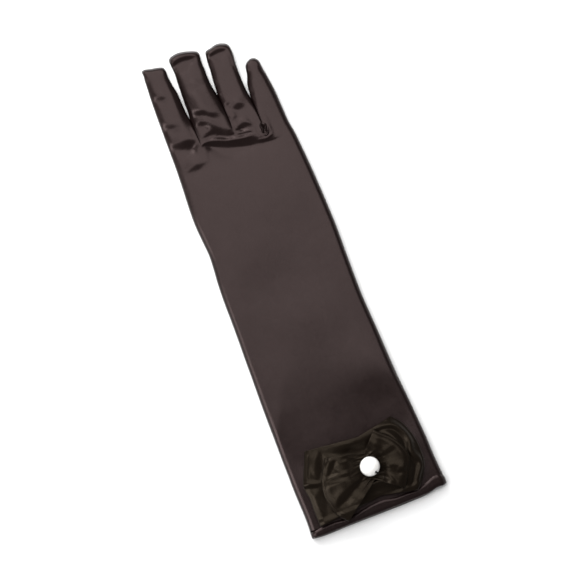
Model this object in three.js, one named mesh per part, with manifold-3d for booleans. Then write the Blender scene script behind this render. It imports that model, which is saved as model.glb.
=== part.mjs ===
// A child's long satin dress glove for the right hand, lying flat with its back upwards and its thumb folded under it.
// Millimetres. The arm runs along Y, the fingers point to +Y, the index finger is on the -X side, and it rests on z = 0.
// In the tables x = 0 is the middle of the cuff and y = 0 is the cuff's edge. The last lines move the whole to its frame.
import * as THREE from "three";
import { mergeVertices } from "three/addons/utils/BufferGeometryUtils.js";
import Module from "manifold-3d";

const wasm = await Module();
wasm.setup();

const WALL = 1.0; // satin with its brushed backing
const SEAM_GAP = 0.3; // between two pieces that are sewn to each other
const LAYER_GAP = 0.6; // between two layers of cloth that lie on each other
const WELD = 1e-4; // points nearer than this are one point

// How a flattened tube is rounded: the share of its height at which it is widest, how far the rounding of its edge
// reaches in as a share of its height, and the share of its top that is one gentle crown.
const EDGE_SHARE = 0.45;
const ROUNDING_SHARE = 1.1;
const CROWN_SHARE = 0.25;
const EDGE_STEPS = 3;
const FLOOR_EDGE_STEPS = 2;
const ARM_STEPS = 7;
const FINGER_STEPS = 2;

// The arm and the hand, from the hem to the roots of the fingers. A slope turns a row's section in the plane of the
// glove, because the roots of the fingers lie on a line that falls towards the little finger.
const ARM = [
  { y: 5, left: -43.0, right: 42.6, height: 7.4, slope: 0 },
  { y: 28, left: -43.3, right: 41.6, height: 7.4, slope: 0 },
  { y: 55, left: -42.8, right: 40.3, height: 7.3, slope: 0 },
  { y: 80, left: -42.5, right: 39.2, height: 7.2, slope: 0 },
  { y: 105, left: -41.5, right: 38.3, height: 7.2, slope: 0 },
  { y: 130, left: -40.8, right: 37.6, height: 7.2, slope: 0 },
  { y: 150, left: -40.1, right: 37.8, height: 7.2, slope: 0 },
  { y: 168, left: -38.8, right: 38.3, height: 7.2, slope: 0 },
  { y: 180, left: -38.1, right: 38.6, height: 7.2, slope: 0 },
  { y: 190, left: -38.5, right: 38.5, height: 7.2, slope: 0 },
  { y: 200, left: -39.2, right: 38.2, height: 7.2, slope: 0 },
  { y: 210, left: -38.8, right: 37.8, height: 7.0, slope: -0.03 },
  { y: 219, left: -38.2, right: 37.0, height: 6.9, slope: -0.08 },
  { y: 226, left: -37.6, right: 36.2, height: 6.9, slope: -0.13 },
  { y: 232, left: -37.1, right: 35.5, height: 6.6, slope: -0.18 },
  { y: 235.6, left: -36.8, right: 35.2, height: 5.9, slope: -0.2 },
  { y: 238.4, left: -36.5, right: 35.0, height: 7.4, slope: -0.2 },
  { y: 241.5, left: -35.6, right: 34.4, height: 5.6, slope: -0.2 },
  { y: 244, left: -34.4, right: 33.6, height: 3.6, slope: -0.2 },
];

// Each finger: its rows, and at its tip the point that it reaches, the radius of its corners and its slant.
const FINGERS = {
  index: {
    rows: [
      { y: 239, left: -36.0, right: -17.9, height: 5.6 },
      { y: 246, left: -36.8, right: -17.6, height: 6.2 },
      { y: 256, left: -36.5, right: -18.1, height: 6.0 },
      { y: 261, left: -36.3, right: -19.7, height: 5.8 },
      { y: 270, left: -36.1, right: -20.1, height: 5.8 },
      { y: 280, left: -35.6, right: -20.8, height: 5.6 },
      { y: 287, left: -35.1, right: -21.9, height: 5.5 },
      { y: 292.5, left: -34.7, right: -21.8, height: 5.2 },
    ],
    tip: { y: 295.7, corner: 1.6, slope: -0.18 },
  },
  middle: {
    rows: [
      { y: 237, left: -17.4, right: 2.8, height: 5.6 },
      { y: 246, left: -17.9, right: 3.1, height: 6.3 },
      { y: 256, left: -18.3, right: 2.2, height: 6.2 },
      { y: 261, left: -18.1, right: 1.6, height: 6.0 },
      { y: 268, left: -17.9, right: 1.2, height: 6.0 },
      { y: 276, left: -17.5, right: 0.2, height: 5.9 },
      { y: 285, left: -17.1, right: 0.1, height: 5.7 },
      { y: 290, left: -16.9, right: 0.1, height: 5.5 },
      { y: 294.5, left: -17.2, right: 0.4, height: 5.2 },
    ],
    tip: { y: 298, corner: 2.2, slope: -0.18 },
  },
  ring: {
    rows: [
      { y: 234.5, left: 2.5, right: 19.4, height: 5.6 },
      { y: 246, left: 2.7, right: 19.8, height: 6.2 },
      { y: 256, left: 1.8, right: 19.5, height: 6.0 },
      { y: 263, left: 1.2, right: 18.8, height: 5.9 },
      { y: 268, left: 2.5, right: 18.6, height: 5.8 },
      { y: 279, left: 3.6, right: 18.6, height: 5.7 },
      { y: 286, left: 4.2, right: 19.3, height: 5.5 },
      { y: 290.5, left: 4.6, right: 19.6, height: 5.2 },
    ],
    tip: { y: 294.6, corner: 2.8, slope: -0.1 },
  },
  little: {
    rows: [
      { y: 231.5, left: 19.6, right: 34.4, height: 5.4 },
      { y: 243, left: 19.3, right: 34.9, height: 5.8 },
      { y: 254, left: 19.3, right: 34.7, height: 5.6 },
      { y: 259, left: 20.4, right: 34.4, height: 5.4 },
      { y: 265, left: 21.2, right: 33.8, height: 5.2 },
      { y: 271, left: 22.9, right: 33.1, height: 5.0 },
      { y: 275, left: 23.6, right: 32.7, height: 4.8 },
    ],
    tip: { y: 279.7, corner: 4.0, slope: 0 },
  },
};
const TIP_STEPS = 3;
const TIP_SLANT_REACH = 14; // how far below the tip its slant begins
const TIP_HEIGHT = 0.45; // share of the finger's height that is left at its end

// The thumb lies under the palm: its root inside the hand, its tip, and its sections by share of the way along.
const THUMB = {
  root: new THREE.Vector2(-27, 168),
  end: new THREE.Vector2(0, 214),
  height: 3.2,
  sides: 16,
  flatness: 1.25, // how much of its round is cut off flat, above and below
  rows: [
    { share: -0.06, width: 15.5, middleZ: 3.9 },
    { share: 0.04, width: 16.5, middleZ: 3.8 },
    { share: 0.1, width: 17, middleZ: 3.4 },
    { share: 0.16, width: 17, middleZ: 2.8 },
    { share: 0.22, width: 17, middleZ: 2.1 },
    { share: 0.28, width: 16.8, middleZ: 1.7 },
    { share: 0.38, width: 16.4, middleZ: 1.6 },
    { share: 0.6, width: 15.8, middleZ: 1.6 },
    { share: 0.85, width: 15, middleZ: 1.6 },
    { share: 0.94, width: 13, middleZ: 1.6 },
    { share: 0.98, width: 10, middleZ: 1.6 },
    { share: 1.0, width: 6, middleZ: 1.6 },
  ],
};
// The palm rides up over the thumb, all the way round a line along it, and the back of the hand rises less.
const THUMB_LIFT = { from: 0.42, plateau: 9.6, ramp: 10, floor: 4, topShare: 0.45 };

// The turned hem round the mouth: how far it stands out round the arm, and its rows from the mouth to its stitching.
// The layer that lies under reaches out past the upper one, and the mouth is cut back at its little finger side.
const MOUTH_RUN_OUT = -20; // how far a cut for a hollow runs out past the mouth
const HEM = {
  end: 4.7,
  wall: 1.7,
  stand: 0.6,
  rows: [
    { y: -0.4, roll: -0.5 },
    { y: 0, roll: 0.2 },
    { y: 1.2, roll: 0.6 },
    { y: 3.4, roll: 0.6 },
    { y: 4.7, roll: 0.1 },
  ],
  rise: 0.7,
  riseReach: 3,
  underReach: 1.3,
  cutBack: 1.4,
  cutBackFrom: 24,
  cutBackTo: 40,
};

// The strips between the fingers, each as the plan of its seams: down the side of one finger, round the crotch and
// up the side of the next one.
const GUSSETS = {
  gusset_index_middle: [
    [-21.6, 291], [-22.9, 282], [-23, 262], [-22.2, 247], [-19.4, 243],
    [-16.6, 243.9], [-15.6, 252], [-15.9, 265], [-15.8, 282], [-16.9, 291.5],
  ],
  gusset_middle_ring: [
    [0.3, 290.5], [-1.4, 282], [-0.9, 268], [0.2, 256], [1, 248.5], [3, 245.2],
    [5, 248.5], [4.3, 256], [4, 268], [5.4, 280], [4.4, 289.5],
  ],
  gusset_ring_little: [
    [19.3, 287], [17.2, 280], [17.2, 262], [17.4, 252], [16.4, 243.5], [15.8, 238.7], [17, 235.7], [20, 234.5],
    [23, 235.7], [24.2, 238.7], [23.6, 243.5], [22, 252], [22.3, 262], [24.8, 269.5], [23.9, 275],
  ],
};
const PRISM = 40; // taller than the glove is thick
// Where the last strip ends it is gathered into a small round pucker.
const PUCKER = { gusset: "gusset_ring_little", x: 20, y: 238.7, radius: 2.6, thickness: 0.8, sides: 16, rise: 0.2 };

// The bow: both ribbons are loops, pinched together at one point and folded over at both ends.
const BOW = { x: 4, y: 27.3 };
// The folded ends, by place across the ribbon from its lower edge (-1) to its upper edge (1).
const UNDER_RIBBON = {
  pinch: 19,
  loft: 2.4,
  foldGap: 0.9,
  ends: [
    { across: -1, leftX: -36.5, leftY: 5.2, rightX: 25.5, rightY: 5.2 },
    { across: -0.5, leftX: -37.3, leftY: 18, rightX: 32.5, rightY: 16.5 },
    { across: 0, leftX: -37, leftY: 29.5, rightX: 34, rightY: 29 },
    { across: 0.5, leftX: -33.8, leftY: 41, rightX: 32, rightY: 40.5 },
    { across: 1, leftX: -28, leftY: 52.5, rightX: 26.5, rightY: 50 },
  ],
};
const UPPER_RIBBON = {
  pinch: 8.5,
  loft: 2.8,
  foldGap: 1.1,
  pleat: 0.6,
  pleats: 4,
  ends: [
    { across: -1, leftX: -17.8, leftY: 1, rightX: 20.5, rightY: 6 },
    { across: -0.6, leftX: -25, leftY: 9, rightX: 25.2, rightY: 13 },
    { across: -0.2, leftX: -27.5, leftY: 20, rightX: 27.8, rightY: 23 },
    { across: 0.2, leftX: -27, leftY: 29, rightX: 27.2, rightY: 32.5 },
    { across: 0.6, leftX: -23.8, leftY: 37.5, rightX: 22.2, rightY: 41 },
    { across: 1, leftX: -18.3, leftY: 42.5, rightX: 13.4, rightY: 46.5 },
  ],
};
const RIBBON_ROWS = 8;
const PINCH_GAP = 0.25; // between the two layers of a ribbon where it is pinched
// Where a ribbon's rings stand between its pinch (0) and its folded end (1).
const RIBBON_PLACES = [0.06, 0.18, 0.36, 0.56, 0.76, 0.93];

// The bead sewn on the pinch, and the thread that holds it.
const PEARL = { radius: 6, hole: 0.75, holeTurn: -63, holeTilt: 24, seat: 0.3 };
// The thread's route, from the bead's middle: along the hole as seen from above, and up.
const THREAD = {
  radius: 0.4,
  sides: 8,
  steps: 26,
  route: [
    { along: -5.1, up: -5.2 },
    { along: -6.2, up: -4.0 },
    { along: -6.1, up: -2.7 },
    { along: -4.75, up: -2.1 },
    { along: 4.75, up: 2.1 },
    { along: 6.1, up: 2.7 },
    { along: 6.4, up: 0 },
    { along: 6.0, up: -3.8 },
    { along: 4.7, up: -5.2 },
  ],
};

const satin = new THREE.MeshStandardMaterial({ color: 0x3c3433, roughness: 0.42, metalness: 0 });
const pearlCoat = new THREE.MeshStandardMaterial({ color: 0xf3eee2, roughness: 0.25, metalness: 0 });
const thread = new THREE.MeshStandardMaterial({ color: 0x14110f, roughness: 0.7, metalness: 0 });

const smooth = (t) => THREE.MathUtils.smoothstep(t, 0, 1);
const mix = THREE.MathUtils.lerp;

// The values of every column of a table at a place between its rows.
function rowAt(rows, column, place) {
  const next = rows.findIndex((row) => row[column] >= place);
  if (next === -1) return rows[rows.length - 1];
  if (next === 0) return rows[0];
  const [a, b] = [rows[next - 1], rows[next]];
  const t = (place - a[column]) / (b[column] - a[column]);
  return Object.fromEntries(Object.keys(a).map((name) => [name, mix(a[name], b[name], t)]));
}

// How far the palm is raised at a point of the glove's plan.
function thumbLift(x, y) {
  const start = THUMB.root.clone().lerp(THUMB.end, THUMB_LIFT.from);
  const way = THUMB.end.clone().sub(start);
  const point = new THREE.Vector2(x, y).sub(start);
  const along = THREE.MathUtils.clamp(point.dot(way) / way.lengthSq(), 0, 1);
  const distance = point.distanceTo(way.multiplyScalar(along));
  return THUMB_LIFT.floor * smooth(1 - (distance - THUMB_LIFT.plateau) / THUMB_LIFT.ramp);
}

// The height of a flattened tube's top at a distance from its middle.
function domeTop(half, height, offset) {
  const edge = EDGE_SHARE * height;
  const rounding = Math.min(half, ROUNDING_SHARE * height);
  const inFromEdge = THREE.MathUtils.clamp((half - Math.abs(offset)) / rounding, 0, 1);
  const shoulder = Math.sqrt(1 - (1 - inFromEdge) ** 2);
  const crown = 1 - (offset / half) ** 2;
  return edge + (height - edge) * ((1 - CROWN_SHARE) * shoulder + CROWN_SHARE * crown);
}

// One closed ring of a flattened tube: a domed top from right to left, then a flat floor from left to right.
function tubeRing(row, grow, steps, slope = 0) {
  const half = (row.right - row.left) / 2 + grow;
  const middle = (row.right + row.left) / 2;
  const height = row.height + 2 * grow;
  const rounding = Math.min(half, ROUNDING_SHARE * height);
  const edge = EDGE_SHARE * height;
  const inner = half - rounding;
  const offsets = [];
  for (let i = 0; i < EDGE_STEPS; i++) offsets.push(inner + rounding * Math.cos((i / EDGE_STEPS) * (Math.PI / 2)));
  for (let i = 0; i < steps; i++) offsets.push(mix(inner, -inner, i / steps));
  for (let i = 0; i <= EDGE_STEPS; i++) {
    offsets.push(-inner - rounding * Math.sin((i / EDGE_STEPS) * (Math.PI / 2)));
  }
  const outline = offsets.map((x) => [x, domeTop(half, height, x)]);
  const corner = Math.min(edge, half);
  for (let i = 1; i <= FLOOR_EDGE_STEPS; i++) {
    const turn = (i / FLOOR_EDGE_STEPS) * (Math.PI / 2);
    outline.push([-half + corner * (1 - Math.cos(turn)), edge * (1 - Math.sin(turn))]);
  }
  for (let i = 1; i < steps; i++) outline.push([mix(corner - half, half - corner, i / steps), 0]);
  for (let i = FLOOR_EDGE_STEPS; i >= 1; i--) {
    const turn = (i / FLOOR_EDGE_STEPS) * (Math.PI / 2);
    outline.push([half - corner * (1 - Math.cos(turn)), edge * (1 - Math.sin(turn))]);
  }
  return outline.map(([offset, z]) => {
    const x = middle + offset;
    const y = row.y + slope * x;
    const raised = thumbLift(x, y) * mix(1, THUMB_LIFT.topShare, THREE.MathUtils.clamp(z / height, 0, 1));
    return new THREE.Vector3(x, y, z - grow + raised);
  });
}

// A closed body through rings of the same number of points, with both ends covered.
function loft(rings) {
  const count = rings[0].length;
  const points = rings.flat();
  const middles = [rings[0], rings[rings.length - 1]].map((ring) =>
    ring.reduce((sum, point) => sum.add(point), new THREE.Vector3()).divideScalar(count));
  points.push(...middles);
  const faces = [];
  for (let r = 0; r + 1 < rings.length; r++) {
    for (let i = 0; i < count; i++) {
      const [a, b] = [r * count + i, r * count + ((i + 1) % count)];
      faces.push(a, a + count, b, b, a + count, b + count);
    }
  }
  const last = (rings.length - 1) * count;
  for (let i = 0; i < count; i++) {
    const next = (i + 1) % count;
    faces.push(rings.length * count, i, next, rings.length * count + 1, last + next, last + i);
  }
  return new THREE.BufferGeometry().setFromPoints(points).setIndex(faces);
}

// A three.js geometry as a solid that can be cut and joined, and back again.
function solidOf(geometry) {
  const bare = geometry.clone();
  for (const name of Object.keys(bare.attributes)) {
    if (name !== "position") bare.deleteAttribute(name);
  }
  const welded = mergeVertices(bare, WELD);
  const vertProperties = welded.attributes.position.array;
  const triVerts = new Uint32Array(welded.index.array);
  return new wasm.Manifold(new wasm.Mesh({ numProp: 3, vertProperties, triVerts }));
}

function geometryOf(solid) {
  const { numProp, vertProperties, triVerts } = solid.getMesh();
  const position = new THREE.BufferAttribute(new Float32Array(vertProperties), numProp);
  const geometry = new THREE.BufferGeometry().setAttribute("position", position);
  geometry.setIndex(new THREE.BufferAttribute(new Uint32Array(triVerts), 1)).computeVertexNormals();
  return geometry;
}

function armSolid(grow) {
  // The hollow runs out through the mouth and stops short of the roots, where the fingers' hollows carry on.
  const rows = grow < 0 ? [{ ...ARM[0], y: MOUTH_RUN_OUT }, ...ARM.slice(0, -1)] : ARM;
  return solidOf(loft(rows.map((row) => tubeRing(row, grow, ARM_STEPS, row.slope))));
}

function fingerSolid({ rows, tip }, grow) {
  const last = rows[rows.length - 1];
  const slant = (y) => tip.slope * smooth((y - (tip.y - TIP_SLANT_REACH)) / TIP_SLANT_REACH);
  const rounded = [];
  for (let i = 1; i <= TIP_STEPS; i++) {
    const turn = (i / TIP_STEPS) * (Math.PI / 2);
    const inset = tip.corner * (1 - Math.cos(turn));
    rounded.push({
      y: mix(last.y, tip.y + grow, Math.sin(turn)),
      left: last.left + inset,
      right: last.right - inset,
      height: last.height * mix(TIP_HEIGHT, 1, Math.cos(turn)),
    });
  }
  const rings = [...rows, ...rounded].map((row) => {
    const middle = (row.left + row.right) / 2;
    const slope = slant(row.y);
    return tubeRing({ ...row, y: row.y - slope * middle }, grow, FINGER_STEPS, slope);
  });
  return solidOf(loft(rings));
}

function thumbSolid(grow) {
  const way = THUMB.end.clone().sub(THUMB.root);
  const along = way.clone().normalize();
  const across = new THREE.Vector2(along.y, -along.x);
  const rings = THUMB.rows.map(({ share, width, middleZ }, index) => {
    const shortened = index === THUMB.rows.length - 1 ? grow / way.length() : 0;
    const place = THUMB.root.clone().addScaledVector(way, share + shortened);
    const half = width / 2 + grow;
    const rise = THUMB.height / 2 + grow;
    const ring = [];
    for (let i = 0; i < THUMB.sides; i++) {
      const turn = (i / THUMB.sides) * 2 * Math.PI;
      const flat = THREE.MathUtils.clamp(THUMB.flatness * Math.sin(turn), -1, 1);
      const point = place.clone().addScaledVector(across, half * Math.cos(turn));
      ring.push(new THREE.Vector3(point.x, point.y, middleZ + rise * flat));
    }
    return ring;
  });
  return solidOf(loft(rings));
}

const joined = (solids) => solids.reduce((all, solid) => all.add(solid));
const handSolid = (grow) =>
  joined([armSolid(grow), ...Object.values(FINGERS).map((finger) => fingerSolid(finger, grow))]);

// An upright prism over a plan, moved outwards by grow.
function prism(plan, grow) {
  const count = plan.length;
  const moved = plan.map((point, i) => {
    const before = new THREE.Vector2(...plan[(i + count - 1) % count]);
    const here = new THREE.Vector2(...point);
    const after = new THREE.Vector2(...plan[(i + 1) % count]);
    const normals = [here.clone().sub(before), after.sub(here)].map((side) =>
      new THREE.Vector2(side.y, -side.x).normalize());
    const out = normals[0].clone().add(normals[1]).normalize();
    return here.addScaledVector(out, grow / out.dot(normals[0]));
  });
  const geometry = new THREE.ExtrudeGeometry(new THREE.Shape(moved), { depth: PRISM, bevelEnabled: false });
  return solidOf(geometry.translate(0, 0, -PRISM / 2));
}

function pucker() {
  const { x, y, radius, thickness, sides, rise } = PUCKER;
  const top = rowAt(FINGERS.ring.rows, "y", y).height;
  const ring = new THREE.TorusGeometry(radius, thickness, sides / 2, sides);
  return solidOf(ring.translate(x, y, top + rise));
}

// The hem is a band of its own round the mouth, standing a little proud of the arm and level with it underneath.
function hemSolid() {
  const mouth = ARM[0];
  const band = (grow, rows) => loft(rows.map(({ y, roll }) => {
    const stand = roll + grow;
    const row = { y, left: mouth.left - stand, right: mouth.right + stand, height: mouth.height + stand };
    const ring = tubeRing(row, 0, ARM_STEPS);
    const share = (HEM.end - y) / HEM.end;
    for (const point of ring) {
      const up = THREE.MathUtils.clamp(point.z / row.height, 0, 1);
      const side = smooth((point.x - HEM.cutBackFrom) / (HEM.cutBackTo - HEM.cutBackFrom));
      point.y += share * (HEM.cutBack * side - HEM.underReach * (1 - up));
    }
    return ring;
  }));
  const hollow = [MOUTH_RUN_OUT, HEM.end - MOUTH_RUN_OUT].map((y) =>
    tubeRing({ ...mouth, y }, HEM.stand - HEM.wall, ARM_STEPS));
  return solidOf(band(0, HEM.rows)).subtract(solidOf(loft(hollow)));
}

// The top of the cloth under the bow: the arm, with the hem standing proud of it.
function cuffTop(x, y) {
  const row = rowAt(ARM, "y", y);
  const middle = (row.left + row.right) / 2;
  const half = (row.right - row.left) / 2;
  const hemRise = HEM.rise * (1 - smooth((y - HEM.end) / HEM.riseReach));
  return domeTop(half, row.height, x - middle) + hemRise;
}

// The space inside a ribbon's loop, by share of the way from the pinch to the fold.
const loopGap = (ribbon, share) =>
  mix(PINCH_GAP, ribbon.foldGap, smooth(share)) + ribbon.loft * Math.sin(Math.PI * smooth(share)) ** 2;

// The top of the under ribbon is what the upper ribbon lies on. It is one surface for both, over the whole plan.
const UNDER_REACH = 40;
function underTop(x, y) {
  const share = THREE.MathUtils.clamp(Math.hypot(x - BOW.x, y - BOW.y) / UNDER_REACH, 0, 1);
  return cuffTop(x, y) + LAYER_GAP + 2 * WALL + loopGap(UNDER_RIBBON, share);
}

// A loop of ribbon, pinched at the bow's middle. The rings follow the loop, and the rows run across the ribbon.
function ribbonSolid(ribbon, floorOf, topOf) {
  const outer = [];
  const inner = [];
  for (let row = 0; row <= RIBBON_ROWS; row++) {
    const across = mix(-1, 1, row / RIBBON_ROWS);
    const end = rowAt(ribbon.ends, "across", across);
    const middle = new THREE.Vector2(BOW.x, BOW.y + ribbon.pinch * across);
    const ends = { left: new THREE.Vector2(end.leftX, end.leftY), right: new THREE.Vector2(end.rightX, end.rightY) };
    const at = (side, share, z, inset) => {
      const way = ends[side].clone().sub(middle);
      const reach = share - inset / way.length();
      const plan = middle.clone().addScaledVector(way, reach);
      return new THREE.Vector3(plan.x, plan.y, z(plan.x, plan.y, share));
    };
    const roof = (x, y, share) => topOf(x, y, share, across);
    const fold = (x, y, share) => (floorOf(x, y) + roof(x, y, share)) / 2;
    const line = (wall) => {
      const low = (x, y) => floorOf(x, y) + wall;
      const high = (x, y, share) => roof(x, y, share) - wall;
      const outwards = RIBBON_PLACES;
      const inwards = [...RIBBON_PLACES].reverse();
      return [
        ...inwards.map((share) => at("left", share, high, 0)),
        ...outwards.map((share) => at("right", share, high, 0)),
        at("right", 1, fold, wall),
        ...inwards.map((share) => at("right", share, low, 0)),
        ...outwards.map((share) => at("left", share, low, 0)),
        at("left", 1, fold, wall),
      ];
    };
    outer.push(line(0));
    inner.push(line(WALL));
  }
  return solidOf(band(outer, inner));
}

// A closed wall between two nets of points that run round in one direction and are open in the other.
function band(outer, inner) {
  const [rows, count] = [outer.length, outer[0].length];
  const faces = [];
  const quad = (a, b, c, d) => faces.push(a, b, c, a, c, d);
  const out = (row, i) => row * count + (i % count);
  const within = (row, i) => rows * count + out(row, i);
  for (let i = 0; i < count; i++) {
    for (let row = 0; row + 1 < rows; row++) {
      quad(out(row, i), out(row, i + 1), out(row + 1, i + 1), out(row + 1, i));
      quad(within(row, i), within(row + 1, i), within(row + 1, i + 1), within(row, i + 1));
    }
    quad(out(0, i), within(0, i), within(0, i + 1), out(0, i + 1));
    quad(out(rows - 1, i), out(rows - 1, i + 1), within(rows - 1, i + 1), within(rows - 1, i));
  }
  return new THREE.BufferGeometry().setFromPoints([...outer.flat(), ...inner.flat()]).setIndex(faces);
}

const underRibbon = () =>
  ribbonSolid(
    UNDER_RIBBON,
    (x, y) => cuffTop(x, y) + LAYER_GAP,
    (x, y) => underTop(x, y),
  );

const upperFloor = (x, y) => underTop(x, y) + LAYER_GAP;
function upperTop(x, y, share, across) {
  const pleat = UPPER_RIBBON.pleat * Math.cos(UPPER_RIBBON.pleats * Math.PI * across) * Math.sin(Math.PI * share);
  return upperFloor(x, y) + 2 * WALL + loopGap(UPPER_RIBBON, share) + pleat;
}

const pearlCentre = new THREE.Vector3(
  BOW.x,
  BOW.y,
  upperTop(BOW.x, BOW.y, 0, 0) + PEARL.seat + PEARL.radius,
);
const holeAxis = new THREE.Vector3(1, 0, 0)
  .applyAxisAngle(new THREE.Vector3(0, 1, 0), -THREE.MathUtils.degToRad(PEARL.holeTilt))
  .applyAxisAngle(new THREE.Vector3(0, 0, 1), THREE.MathUtils.degToRad(PEARL.holeTurn));

// The bead has its middle at its own origin, and its hole along the thread.
function pearlSolid() {
  const drill = new THREE.CylinderGeometry(PEARL.hole, PEARL.hole, 3 * PEARL.radius, 10);
  drill.applyQuaternion(new THREE.Quaternion().setFromUnitVectors(new THREE.Vector3(0, 1, 0), holeAxis));
  return solidOf(new THREE.SphereGeometry(PEARL.radius, 24, 16)).subtract(solidOf(drill));
}

// The thread comes up out of the pinch, goes through the bead and down again, about the bead's middle.
function threadGeometry() {
  const turn = new THREE.Quaternion().setFromAxisAngle(
    new THREE.Vector3(0, 0, 1),
    THREE.MathUtils.degToRad(PEARL.holeTurn),
  );
  const points = THREAD.route.map(({ along, up }) => new THREE.Vector3(along, 0, up).applyQuaternion(turn));
  const path = new THREE.CatmullRomCurve3(points);
  const section = new THREE.Shape(
    Array.from({ length: THREAD.sides }, (_, i) => {
      const angle = (i / THREAD.sides) * 2 * Math.PI;
      return new THREE.Vector2(THREAD.radius * Math.cos(angle), THREAD.radius * Math.sin(angle));
    }),
  );
  return new THREE.ExtrudeGeometry(section, { steps: THREAD.steps, extrudePath: path });
}

const part = new THREE.Group();
const pieces = new THREE.Group();
part.add(pieces);

function add(name, geometry, material) {
  const mesh = new THREE.Mesh(geometry, material);
  mesh.name = name;
  pieces.add(mesh);
  return mesh;
}

const shell = handSolid(0).subtract(handSolid(-WALL));
const gussetCuts = Object.values(GUSSETS).map((plan) => prism(plan, SEAM_GAP));
const body = [...gussetCuts, thumbSolid(-WALL)].reduce((left, cut) => left.subtract(cut), shell);
add("glove_body", geometryOf(body), satin);
add("thumb", geometryOf(thumbSolid(0).subtract(thumbSolid(-WALL)).subtract(handSolid(SEAM_GAP))), satin);
for (const [name, plan] of Object.entries(GUSSETS)) {
  const strip = shell.intersect(prism(plan, 0));
  add(name, geometryOf(name === PUCKER.gusset ? strip.add(pucker()) : strip), satin);
}
add("cuff_hem", geometryOf(hemSolid()), satin);
add("bow_under_ribbon", geometryOf(underRibbon()), satin);
add("bow_upper_ribbon", geometryOf(ribbonSolid(UPPER_RIBBON, upperFloor, upperTop)), satin);
add("pearl", geometryOf(pearlSolid()), pearlCoat).position.copy(pearlCentre);
add("pearl_thread", threadGeometry(), thread).position.copy(pearlCentre);

// The frame's origin is the middle of the underside.
const box = new THREE.Box3().setFromObject(part);
const centre = box.getCenter(new THREE.Vector3());
pieces.position.set(-centre.x, -centre.y, -box.min.z);

export default part;
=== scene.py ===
"""A child's long satin dress glove, lying on its palm on a pale floor, seen from straight above.

Sizes are in millimetres in the glove's own plan. There x = 0 is the middle of the cuff, y = 0 is the cuff's
edge and z = 0 is the floor. The arm runs along y and the index finger is on the side of low x.
"""
import math

import bpy
import numpy as np
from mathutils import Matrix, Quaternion, Vector


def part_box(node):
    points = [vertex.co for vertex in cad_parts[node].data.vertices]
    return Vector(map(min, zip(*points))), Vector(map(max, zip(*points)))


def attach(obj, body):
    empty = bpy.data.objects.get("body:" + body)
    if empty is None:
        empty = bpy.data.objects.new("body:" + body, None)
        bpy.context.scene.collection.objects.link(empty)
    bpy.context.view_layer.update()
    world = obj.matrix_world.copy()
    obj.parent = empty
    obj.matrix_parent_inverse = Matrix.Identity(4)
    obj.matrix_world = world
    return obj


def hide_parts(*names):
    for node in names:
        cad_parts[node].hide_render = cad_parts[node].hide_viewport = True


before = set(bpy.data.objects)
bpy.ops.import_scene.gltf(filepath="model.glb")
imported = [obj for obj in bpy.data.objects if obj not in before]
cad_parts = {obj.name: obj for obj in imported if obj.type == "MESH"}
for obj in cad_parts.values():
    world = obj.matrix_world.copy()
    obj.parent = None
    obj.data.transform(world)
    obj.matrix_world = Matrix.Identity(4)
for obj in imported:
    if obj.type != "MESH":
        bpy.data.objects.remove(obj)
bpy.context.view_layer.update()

MM = 0.001
BEAD_PLAN = (4.0, 27.3)  # where the bead sits in the glove's plan


def rows_of(names, rows):
    """A table's rows, each value under the name of its column."""
    return [dict(zip(names.split(), row)) for row in rows]


# The outline of the arm and the hand, up to the roots of the fingers.
ARM = rows_of("y left right height", [
    (-2, -44.2, 43.6, 7.5),
    (5, -43.8, 43.0, 7.5),
    (12, -43.5, 42.6, 7.5),
    (20, -43.6, 42.2, 7.4),
    (30, -43.8, 42.1, 7.4),
    (40, -43.6, 41.6, 7.3),
    (50, -43.5, 41.1, 7.3),
    (60, -43.3, 40.5, 7.2),
    (70, -43.1, 39.8, 7.2),
    (80, -42.9, 39.4, 7.2),
    (90, -42.6, 39.1, 7.2),
    (100, -42.2, 38.8, 7.2),
    (110, -41.9, 38.4, 7.2),
    (125, -41.3, 37.9, 7.2),
    (138, -40.9, 38.1, 7.2),
    (150, -40.7, 38.4, 7.2),
    (162, -40.1, 38.8, 7.2),
    (172, -39.1, 39.0, 7.2),
    (180, -38.6, 38.9, 7.2),
    (190, -39.2, 38.7, 7.2),
    (200, -39.7, 38.4, 7.2),
    (210, -39.4, 38.0, 7.1),
    (220, -38.7, 37.4, 6.9),
    (230, -38.1, 36.7, 6.7),
    (238, -37.7, 35.6, 6.5),
    (246, -37.4, 35.3, 6.3),
])

# The line of the finger roots, from the index finger's side to the little finger's side: the two ends of the
# line and the three crotches between.
ROOTS = [(-37.6, 242.0), (-18.5, 244.0), (2.7, 246.0), (20.4, 238.5), (35.6, 237.8)]

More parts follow.
